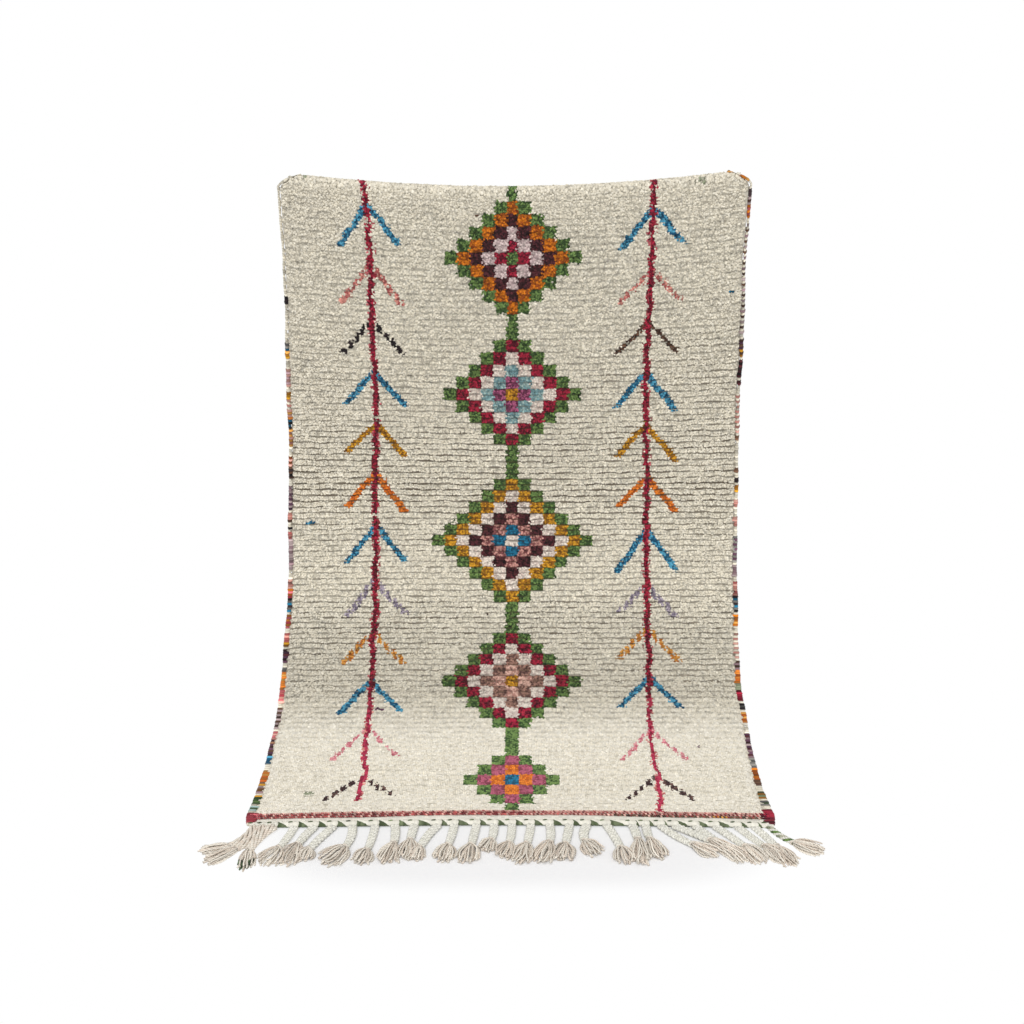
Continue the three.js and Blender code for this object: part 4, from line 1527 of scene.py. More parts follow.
@dataclass
class Ground:
    """The woven ground: one sheet with two faces, patterned on its back by the knots."""

    drape: Drape
    chart: Chart
    rows: KnotRows
    dyebath: Dyebath
    hem_steps: int = 3
    end_steps: int = 8
    below_tips: float = 2.5
    furrow: float = 0.3
    parting: float = 3.6
    end_relief: float = 0.25

    def sections(self) -> tuple[np.ndarray, np.ndarray, np.ndarray]:
        """The sheet's sections: one at every row of knots and one between two rows.

        Returns:
            The sections' distances down the cloth, which of them lie between two rows, and the
            knots' yarns from each section to the next.
        """
        places = self.rows.places
        field_at = np.empty(2 * len(places) - 1)
        field_at[::2] = places
        field_at[1::2] = 0.5 * (places[1:] + places[:-1])
        hem = np.linspace(HIDDEN_END, HIDDEN_END + HIDDEN_HEM, self.hem_steps + 1)
        end = np.linspace(KNOTS_END + 1, STRIP_END, self.end_steps + 1)
        at = np.concatenate([hem, field_at, end])
        between = np.zeros(len(at), bool)
        between[len(hem) + 1 : len(hem) + len(field_at) : 2] = True
        turned = self.chart.turned(self.chart.knots, len(self.rows.turned_at))
        numbers = np.concatenate([turned, self.chart.knots])
        cream = np.full((1, numbers.shape[1]), yarn_number(Yarn.SOFT_CREAM))
        before = np.repeat(cream, self.hem_steps, axis=0)
        after = np.repeat(cream, self.end_steps, axis=0)
        return at, between, np.concatenate([before, np.repeat(numbers, 2, axis=0), after])

    def face_height(self, x: np.ndarray, s: np.ndarray, between: np.ndarray) -> np.ndarray:
        """Height of the face: a little under the pile's tips, lower between two rows, and more so
        where they part, and the bare weave's at both ends."""
        first = HIDDEN_END + HIDDEN_HEM
        knotted = smoothstep(s, first, first + 4) * (1 - smoothstep(s, KNOTS_END - 4, KNOTS_END + 1))
        opened = self.rows.openness(x, s / ROW)
        dip = between[:, None] * (self.furrow + self.parting * opened)
        below = self.below_tips * (1 - 0.6 * smoothstep(s, row_place(42.0), row_place(49.0)))
        return WEB + knotted * np.maximum(self.drape.pile_top(x, s) - below - dip - WEB, 0)

    def build(self, finish: bpy.types.Material) -> bpy.types.Object:
        """Makes the sheet as two grids joined round their rims.

        Args:
            finish: the ground's finish.

        Returns:
            The piece.
        """
        at, between, numbers = self.sections()
        share = np.arange(-KNOTS_HALF, KNOTS_HALF + 1) / KNOTS_HALF
        s, share = np.meshgrid(at, share, indexing="ij")
        x = self.drape.across(share, s)
        back = self.drape.points(x, s, 0.0)
        front = self.drape.points(x, s, self.face_height(x, s, between))
        rows, columns = s.shape
        number = np.arange(rows * columns).reshape(rows, columns)
        quad = np.stack([number[:-1, :-1], number[:-1, 1:], number[1:, 1:], number[1:, :-1]], axis=-1)
        over = number + rows * columns
        face = np.stack([over[:-1, :-1], over[1:, :-1], over[1:, 1:], over[:-1, 1:]], axis=-1)
        rim = np.concatenate([number[0], number[1:, -1], number[-1, -2::-1], number[-2:0:-1, 0]])
        following = np.roll(rim, -1)
        lift = rows * columns
        wall = np.stack([rim, rim + lift, following + lift, following], axis=-1)
        knots = self.dyebath.colours(numbers, 0.05)
        back_colours = np.repeat(knots.reshape(-1, 1, 3), 4, axis=1)
        front_colours = self.front_colours(knots, x, s, between)
        wall_colours = np.broadcast_to(linear(Yarn.CREAM.value.tone), (len(wall), 4, 3))
        painted = np.concatenate([back_colours, front_colours, wall_colours])
        relief = np.ones((rows - 1, columns - 1))
        relief[-self.end_steps :] = self.end_relief
        relief = np.concatenate([np.ones(relief.size), relief.ravel(), np.ones(len(wall))])
        relief = np.repeat(relief[:, None, None], 4, axis=1)
        painted = np.concatenate([painted, relief], axis=-1)
        shape = Shape(
            np.concatenate([back.reshape(-1, 3), front.reshape(-1, 3)]),
            [np.concatenate([quad.reshape(-1, 4), face.reshape(-1, 4), wall])],
            corner_colours=painted.reshape(-1, 4),
            threads=self.thread_map(at, quad, face, wall),
            flat_map=self.flat_map(x, s, quad, face, wall),
        )
        return add_piece("ground_weave", outward(shape), finish, "pile_wool", "rug_body")

    def front_colours(
        self, knots: np.ndarray, x: np.ndarray, s: np.ndarray, between: np.ndarray
    ) -> np.ndarray:
        """The face's colours at each quad's corners: the knots' colours, a little darker under the pile as
        painted shade, and between rows that part a dark brown for the deep weft together with the painted
        shade in the gap.

        Args:
            knots: a colour for each quad.
            x: distance across at each point.
            s: distance down at each point.
            between: which sections lie between two rows.

        Returns:
            The colours, as quad, corner and channel.
        """
        weft_and_shade = linear(DEEP_WEFT_AND_SHADE)
        opened = np.clip(1.7 * self.rows.openness(x, s / ROW), 0, 1)
        share = np.where(between[:, None], 0.04 + 0.8 * opened, 0.0)
        # Painted shade: the face a little darker under the pile.
        under = 1 - 0.18 * ((s > HIDDEN_END + HIDDEN_HEM) & (s < row_place(44.0)))
        corners = [(slice(-1), slice(-1)), (slice(1, None), slice(-1))]
        corners += [(slice(1, None), slice(1, None)), (slice(-1), slice(1, None))]
        found = []
        for rows, columns in corners:
            mixed, shade = share[rows, columns, None], under[rows, columns, None]
            found.append((1 - mixed) * shade * knots + mixed * weft_and_shade)
        return np.stack(found, axis=2).reshape(-1, 4, 3)

    def thread_map(
        self, at: np.ndarray, quad: np.ndarray, face: np.ndarray, wall: np.ndarray
    ) -> np.ndarray:
        """A map with one knot to a unit, the same on both faces, and a point on the rims."""
        rows = np.full(len(at) - 1, 0.5)
        rows[: self.hem_steps] = 1
        rows[-self.end_steps :] = 1
        down = np.concatenate([[0], np.cumsum(rows)])
        columns = 2 * KNOTS_HALF + 1
        maps = []
        for part in (quad, face):
            number = part.ravel() % (columns * len(at))
            maps.append(np.stack([number % columns, down[number // columns]], axis=-1))
        return np.concatenate([*maps, np.full((wall.size, 2), 0.25)])

    def flat_map(
        self, x: np.ndarray, s: np.ndarray, quad: np.ndarray, face: np.ndarray, wall: np.ndarray
    ) -> np.ndarray:
        """Both faces laid out flat, side by side, with the rims in a strip between them."""
        across = (x.ravel() + FLAT_HALF) / (2 * FLAT_HALF)
        down = 1 - (s.ravel() - HIDDEN_END) / (HEM_END - HIDDEN_END)
        half = 0.485
        back = np.stack([half * across, down], axis=-1)
        front = np.stack([1 - half + half * across, down], axis=-1)
        rim = np.arange(len(wall))[:, None] / len(wall) + np.array([0, 0, 1, 1]) / len(wall)
        strip = np.stack([0.5 + np.array([-0.008, 0.008, 0.008, -0.008]) + 0 * rim, rim], axis=-1)
        size = x.size
        parts = [back[quad.ravel()], front[face.ravel() - size], strip.reshape(-1, 2)]
        return np.clip(np.concatenate(parts), 0.001, 0.999)


# Edges and ends


class Run(NamedTuple):
    """A run of wraps on a selvedge: where it starts and ends down the rug, and its yarns."""

    start: float
    end: float
    yarns: tuple[Yarn, ...]


LEFT_RUNS = (
    Run(240, 252, (Y.BLACK,)),
    Run(333, 345, (Y.GREY,)),
    Run(345, 357, (Y.TEAL_BLUE, Y.OCHRE)),
    Run(357, 366, (Y.MUSTARD,)),
    Run(388, 426, (Y.FADED_ROSE, Y.FADED_PLUM)),
    Run(440, 452, (Y.MUSTARD,)),
    Run(456, 484, (Y.FADED_ROSE, Y.CREAM)),
    Run(484, 498, (Y.OCHRE, Y.FADED_ROSE)),
    Run(498, 521, (Y.TEAL_BLUE, Y.BLACK)),
    Run(521, 556, (Y.OCHRE, Y.FADED_ROSE)),
    Run(580, 601, (Y.ORANGE, Y.FADED_ROSE)),
    Run(601, 628, (Y.BROWN, Y.BLACK)),
    Run(643, 660, (Y.FADED_PLUM,)),
    Run(660, 700, (Y.PURPLE, Y.FADED_PLUM)),
    Run(703, 719, (Y.CORAL,)),
    Run(719, 727, (Y.BROWN,)),
    Run(733, 740, (Y.BLACK,)),
    Run(748, 760, (Y.CORAL, Y.FADED_ROSE)),
    Run(760, 832, (Y.FADED_PLUM,)),
    Run(856, 874, (Y.FADED_ROSE,)),
    Run(878, 896, (Y.ORANGE, Y.ROSE_RED)),
    Run(896, 932, (Y.BLACK, Y.GREY, Y.TEAL_BLUE)),
    Run(938, 968, (Y.OCHRE, Y.ROSE_RED)),
    Run(980, 1000, (Y.CORAL,)),
    Run(1000, 1013, (Y.MUSTARD,)),
    Run(1015, 1050, (Y.AUBERGINE, Y.PURPLE)),
    Run(1058, 1071, (Y.GREY,)),
    Run(1073, 1113, (Y.BRIGHT_ORANGE, Y.OCHRE)),
    Run(1116, 1148, (Y.ROSE_RED, Y.CORAL)),
    Run(1158, 1212, (Y.BROWN, Y.FADED_PLUM)),
    Run(1214, 1240, (Y.ROSE_RED, Y.FADED_ROSE)),
    Run(1240, 1280, (Y.PURPLE, Y.BROWN)),
    Run(1282, 1304, (Y.SKY_BLUE,)),
    Run(1321, 1352, (Y.OCHRE, Y.BRIGHT_ORANGE)),
    Run(1352, 1386, (Y.BROWN, Y.MUSTARD, Y.FADED_PLUM)),
    Run(1388, 1397, (Y.MUSTARD,)),
    Run(1397, 1414, (Y.GREEN,)),
    Run(1422, 1436, (Y.PALE_TEAL, Y.GREEN)),
    Run(1446, 1476, (Y.ROSE_RED,)),
)
RIGHT_RUNS = (
    Run(-16, -9, (Y.BROWN,)),
    Run(-9, 12, (Y.OCHRE, Y.CREAM, Y.ORANGE)),
    Run(28, 42, (Y.BLACK,)),
    Run(42, 62, (Y.FADED_PLUM, Y.BROWN)),
    Run(62, 86, (Y.ORANGE, Y.BRICK)),
    Run(94, 326, (Y.CREAM, Y.FADED_PLUM, Y.CREAM, Y.BROWN)),
    Run(328, 350, (Y.BROWN, Y.PURPLE)),
    Run(350, 370, (Y.MUSTARD, Y.BROWN)),
    Run(372, 410, (Y.AUBERGINE, Y.BLACK)),
    Run(416, 428, (Y.AUBERGINE,)),
    Run(448, 536, (Y.FADED_ROSE, Y.CREAM)),
    Run(536, 544, (Y.BROWN,)),
    Run(606, 616, (Y.BROWN,)),
    Run(630, 638, (Y.BLACK,)),
    Run(644, 660, (Y.MUSTARD,)),
    Run(675, 692, (Y.FADED_ROSE,)),
    Run(716, 734, (Y.FADED_ROSE,)),
    Run(756, 814, (Y.GREY, Y.PURPLE)),
    Run(824, 850, (Y.FADED_PLUM,)),
    Run(862, 890, (Y.CORAL, Y.FADED_ROSE)),
    Run(893, 932, (Y.BLACK, Y.TEAL_BLUE, Y.GREY)),
    Run(934, 964, (Y.ORANGE, Y.OCHRE)),
    Run(974, 1040, (Y.CREAM, Y.FADED_ROSE)),
    Run(1044, 1066, (Y.BROWN, Y.FADED_PLUM)),
    Run(1066, 1096, (Y.BRIGHT_ORANGE, Y.OCHRE)),
    Run(1098, 1113, (Y.GREY_GREEN,)),
    Run(1115, 1140, (Y.CRIMSON,)),
    Run(1146, 1164, (Y.BLACK, Y.GREY)),
    Run(1168, 1196, (Y.OCHRE, Y.BRIGHT_ORANGE)),
    Run(1220, 1288, (Y.PURPLE, Y.AUBERGINE, Y.FADED_PLUM)),
    Run(1288, 1312, (Y.GREY,)),
    Run(1316, 1344, (Y.ORANGE,)),
    Run(1346, 1362, (Y.BROWN,)),
    Run(1380, 1402, (Y.OLIVE, Y.MUSTARD)),
    Run(1408, 1424, (Y.GREY, Y.GREEN)),
    Run(1434, 1482, (Y.CRIMSON,)),
)


@dataclass
class Selvedge:
    """An edge overcast with short runs of leftover yarns, drawn round it in slanting wraps."""

    drape: Drape
    dyebath: Dyebath
    side: int
    runs: tuple[Run, ...]
    wrap: float = 5.4
    rings_per_wrap: int = 4
    sides: int = 8
    slant: float = 2.4

    def build(self, finish: bpy.types.Material) -> bpy.types.Object:
        """Makes the wraps as one tube.

        Ring centres lie on the edge; the ring's reach is 0.84 + 0.2 |sin|^0.5 of the place in its
        wrap, more where leftover yarns lie over the cream ones. Inwards it lies over the pile's
        rim as far as binding_reach, a little less or more by chance. Every ring is sheared along
        the edge by slant sin(a).

        Args:
            finish: the binding's finish.

        Returns:
            The piece.
        """
        start, end = HIDDEN_END + HIDDEN_HEM + 1, HEM_END - 1
        wraps = int((end - start) / self.wrap)
        count = wraps * self.rings_per_wrap + 1
        s = np.linspace(start, end, count)
        place = np.arange(count) / self.rings_per_wrap
        number = np.minimum(np.floor(place).astype(int), wraps - 1)
        numbers = self.wrap_yarns(s[: -1 : self.rings_per_wrap])
        uneven = 1 + 0.09 * np.clip(self.dyebath.rng.standard_normal(wraps), -1.5, 2)
        uneven *= np.where(numbers == yarn_number(Yarn.CREAM), 1.0, 1.24)
        full = (0.84 + 0.2 * np.sqrt(abs(np.sin(np.pi * place)))) * uneven[number]
        turn = turns(self.sides)
        along = s[:, None] + self.slant * np.sin(turn) * smoothstep(s, start, start + 8)[:, None]
        along = np.clip(along, start, HEM_END)
        middle = self.drape.edge(self.side, s)[:, None] - 0.5 * BINDING_WIDTH
        inward = 1 + 0.24 * np.clip(self.dyebath.rng.standard_normal(wraps), -1.8, 1.8)
        inward *= np.where(numbers == yarn_number(Yarn.CREAM), 0.82, 1.1)
        inward = (binding_reach(s) * inward[number] - 0.5 * BINDING_WIDTH)[:, None]
        half = np.where(np.cos(turn) > 0, 0.56 * BINDING_WIDTH * full[:, None], inward)
        x = self.side * (middle + half * np.cos(turn))
        h = 0.5 * BINDING_HEIGHT * (1 + full[:, None] * np.sin(turn))
        rings = self.drape.points(x, along, h)[None]
        colours = self.dyebath.colours(numbers, 0.14)
        # Painted shade: each wrap darker towards its ends, where it dips under the next one.
        shade = 0.55 + 0.37 * np.sqrt(abs(np.sin(np.pi * place)))
        painted = colours[number] * shade[:, None]
        name = "selvedge_left" if self.side < 0 else "selvedge_right"
        shape = tubes(rings, painted[None])
        return add_piece(f"{name}_wraps", shape, finish, "binding_yarn", name)

    def wrap_yarns(self, s: np.ndarray) -> np.ndarray:
        """The yarn number of each wrap: cream, or the yarns of its run in turn."""
        numbers = np.full(len(s), yarn_number(Yarn.CREAM))
        for run in self.runs:
            inside = np.flatnonzero((s >= run.start) & (s < run.end))
            yarns = np.array([yarn_number(yarn) for yarn in run.yarns])
            numbers[inside] = yarns[np.arange(len(inside)) % len(yarns)]
        return numbers


@dataclass
class TwinedBand:
    """Three twined rows of red and pink stitches between the last knots and the cream end, a
    little further apart towards the sides."""

    drape: Drape
    dyebath: Dyebath
    rng: np.random.Generator
    pitch: float = 3.9
    rows: tuple[float, ...] = (KNOTS_END + 0.6, KNOTS_END + 5.0, KNOTS_END + 9.8)
    spread: tuple[float, ...] = (1.2, 2.6, 4.2)
    long: float = 3.3
    thick: float = 1.85

    def build(self, finish: bpy.types.Material) -> bpy.types.Object:
        """Makes every stitch a slanting grain, dark and light in turn.

        Args:
            finish: the yarn's finish.

        Returns:
            The piece.
        """
        left, right = (float(self.drape.edge(side, np.array(self.rows[0]))) - 8 for side in (-1, 1))
        x = np.arange(-left, right, self.pitch)
        count, zero = len(x), np.zeros(len(x))
        stitch = grain(5)
        origins, axes, numbers = [], [], []
        for index, row in enumerate(self.rows):
            wave = 0.5 * np.sin(x / 41 + index) + 0.35 * self.rng.standard_normal(count)
            wave = wave + self.spread[index] * smoothstep(abs(x), 130, 330)
            place = np.stack([x + 0.4 * self.pitch * index, row + wave, zero + WEB + 2.2], axis=-1)
            lean = np.radians(42 + 7 * self.rng.standard_normal(count))
            long = self.long * np.exp(0.07 * self.rng.standard_normal(count))
            thick = self.thick * np.exp(0.07 * self.rng.standard_normal(count))
            along = np.stack([long * np.cos(lean), long * np.sin(lean), zero], axis=-1)
            across = np.stack([thick * np.sin(lean), -thick * np.cos(lean), zero], axis=-1)
            above = np.stack([zero, zero, thick], axis=-1)
            axes.append(np.stack([along, across, above], axis=-2))
            origins.append(place)
            numbers.append(self.stitch_yarns(x, index))
        colours = self.dyebath.colours(np.concatenate(numbers), 0.1)
        shape = stitch.laid(self.drape, np.concatenate(origins), np.concatenate(axes), colours)
        return add_piece("twined_band", shape, finish, "cord_yarn")

    def stitch_yarns(self, x: np.ndarray, row: int) -> np.ndarray:
        """Pale pink in the first row; below it brick red with fewer or more pink stitches, a few
        odd ones, and solid red at both corners."""
        place = np.arange(len(x))
        often = np.where(x > 16, 2, 4)
        numbers = np.where((place + row) % often == 0, yarn_number(Yarn.BLUSH), yarn_number(Yarn.BRICK))
        numbers[(x > 190) & (row == 2) & (place % 3 != 1)] = yarn_number(Yarn.BROWN)
        numbers[(abs(x - 395) < 16) & (row == 2) & (place % 2 == 0)] = yarn_number(Yarn.OCHRE)
        if row == 0:
            numbers = np.where(place % 5 == 0, yarn_number(Yarn.BRICK), yarn_number(Yarn.BLUSH))
        numbers[x > 478] = yarn_number(Yarn.CRIMSON)
        numbers[x < -486] = yarn_number(Yarn.ROSE_RED)
        return numbers


class Tassel(NamedTuple):
    """A tassel: its root across the rug, the leans of braid and tuft from straight ahead in
    degrees, both lengths, and half the tuft's width."""

    root: float
    lean: float
    tuft_lean: float
    braid: float
    tuft: float
    fan: float


TASSELS = (
    Tassel(-490, -6, -75, 64, 53, 10),
    Tassel(-473, -15, -53, 73, 60, 13),
    Tassel(-454, -39, 3, 75, 50, 13),
    Tassel(-414, -11, -24, 66, 49, 24),
    Tassel(-376, -30, -9, 58, 57, 22),
    Tassel(-340, -32, -18, 78, 29, 17),
    Tassel(-304, 11, -35, 64, 55, 28),
    Tassel(-261, 0, -16, 74, 35, 22),
    Tassel(-223, 11, -13, 54, 53, 22),
    Tassel(-186, -8, 0, 46, 49, 21),
    Tassel(-141, -32, -9, 73, 34, 13),
    Tassel(-110, -5, -14, 62, 44, 22),
    Tassel(-68, -6, -10, 62, 46, 22),
    Tassel(-34, 2, -21, 47, 30, 21),
    Tassel(0, 0, -15, 56, 41, 21),
    Tassel(36, -5, -13, 59, 52, 21),
    Tassel(72, 7, -17, 53, 56, 22),
    Tassel(110, -10, -10, 59, 43, 22),
    Tassel(143, -27, 29, 50, 42, 17),
    Tassel(181, 21, 9, 72, 40, 21),
    Tassel(230, 13, -1, 42, 66, 17),
    Tassel(255, -1, 16, 41, 54, 19),
    Tassel(284, 35, 57, 76, 51, 17),
    Tassel(310, 57, 48, 73, 64, 15),
    Tassel(350, 35, 38, 74, 50, 17),
    Tassel(388, 39, 33, 74, 50, 19),
    Tassel(430, 32, 37, 69, 49, 17),
    Tassel(462, 29, 22, 63, 55, 19),
    Tassel(489, 22, 65, 58, 52, 17),
)


@dataclass
class EndCord:
    """The twined cord: a green core that shows as wedges between cream yarns, which slant down
    from the hem to gather at each tassel."""

    drape: Drape
    dyebath: Dyebath
    grip: float = 7.5
    steps: int = 14
    sides: int = 8

    def build(self, finish: bpy.types.Material) -> bpy.types.Object:
        """Makes the core, a cream wrap for each tassel and a dark dash over each root.

        Args:
            finish: the cord's finish.

        Returns:
            The piece.
        """
        shapes = [self.core(), *(self.wrap(i) for i in range(len(TASSELS) + 1)), self.dashes()]
        shape = join(shapes)
        return add_piece("end_cord_twining", shape, finish, "cord_yarn", "end_cord")

    def ends(self) -> tuple[float, float]:
        """x at both ends of the cord."""
        at = np.array(HEM_END)
        return -float(self.drape.edge(-1, at) - 4), float(self.drape.edge(1, at) - 2)

    def core(self) -> Shape:
        """The green core: an oval tube across the rug, its surface ribbed by its own twist."""
        left, right = self.ends()
        x = np.linspace(left + 3, right - 3, 260)
        turn = turns(self.sides)
        rib = 0.92 + 0.08 * np.sin(2 * np.pi * x / 8)[:, None]
        middle = STRIP_END + CORD_GAP + 0.5 * CORD_WIDTH - 1.6
        s = middle + (0.5 * CORD_WIDTH + 1.6) * rib * np.cos(turn) - 1.2 * np.sin(turn)
        h = 3.6 * (1 + 0.98 * rib * np.sin(turn))
        points = self.drape.points(x[:, None] + 0 * turn, s, h)
        colours = self.dyebath.colours(np.full(len(x), yarn_number(Yarn.OLIVE)), 0.06)
        return tubes(points[None], colours[None], 0.5)

    def wrap(self, index: int) -> Shape:
        """A cream wrap from one tassel's root to the next one's.

        Its upper side follows the hem. Its lower side starts near the hem and slants down to the
        cord's front, where it stays for the width of the braid.

        Args:
            index: the tassel at its right end, or the number of tassels for the last one.

        Returns:
            The shape.
        """
        left, right = self.ends()
        start = left if index == 0 else TASSELS[index - 1].root + self.grip
        stop = right if index == len(TASSELS) else TASSELS[index].root + self.grip
        x = np.linspace(start - 1.5, stop + 1.5, self.steps)
        reach = np.clip((x - start) / max(stop - 2.7 * self.grip - start, 1), 0, 1)
        front = -1.5 + (CORD_WIDTH + 1.5) * reach**0.8
        half = 0.5 * (front + 2.0)
        turn = turns(self.sides)
        fade = np.clip(np.minimum(x - x[0], x[-1] - x) / 3.0, 0.2, 1)[:, None] ** 0.5
        s = STRIP_END + CORD_GAP - 2.0 + half[:, None] * (1 + np.cos(turn) * fade)
        strand = 0.3 * np.sin(2 * np.pi * x / 9)[:, None]
        h = 4.2 + (4.0 + strand) * fade * np.sin(turn)
        points = self.drape.points(x[:, None] + 0 * turn, s, h)
        colours = self.dyebath.colours(np.full(len(x), yarn_number(Yarn.SOFT_CREAM)), 0.03)
        return tubes(points[None], colours[None], 0.5)

    def dashes(self) -> Shape:
        """A short dark grain over each root, where the core shows through."""
        x = column(TASSELS, "root") - 9.0
        zero = np.zeros(len(x))
        origins = np.stack([x, zero + STRIP_END + 3.4, zero + 8.4], axis=-1)
        axes = np.stack(
            [
                np.stack([zero + 4.6, zero - 0.8, zero], axis=-1),
                np.stack([zero, zero + 2.0, zero], axis=-1),
                np.stack([zero, zero, zero + 1.3], axis=-1),
            ],
            axis=-2,
        )
        colours = self.dyebath.colours(np.full(len(x), yarn_number(Yarn.OLIVE)), 0.1)
        shape = grain(6).laid(self.drape, origins, axes, colours)
        shape.threads = np.zeros((len(shape.corners()), 2))
        return shape


def heading(lean: np.ndarray) -> np.ndarray:
    """A level direction, turned to the right of straight ahead by a lean in degrees."""
    turn = np.radians(lean)
    return np.stack([np.sin(turn), -np.cos(turn), 0 * turn], axis=-1)


def aside(lean: np.ndarray) -> np.ndarray:
    """The level direction to the left of a heading."""
    turn = np.radians(lean)
    return np.stack([np.cos(turn), np.sin(turn), 0 * turn], axis=-1)


class Plait(NamedTuple):
    """How a tassel's strands run: their number, the length of a turn, how far they swing sideways
    and up and down, half their width and height, and the yarns that they take in turn."""

    strands: int
    turn: float
    sideways: float
    upwards: float
    wide: float
    high: float
    yarns: tuple[Yarn, ...]


FLAT_BRAID = Plait(3, 27, 5.0, 1.5, 3.9, 2.2, (Yarn.COTTON,))
LOOSE_ROPE = Plait(6, 95, 7.0, 3.0, 2.8, 2.4, (Yarn.UNDYED,))
GREEN_ROPE = Plait(4, 30, 3.7, 3.2, 2.5, 2.4, (Yarn.COTTON, Yarn.GREEN, Yarn.COTTON, Yarn.GREY_GREEN))


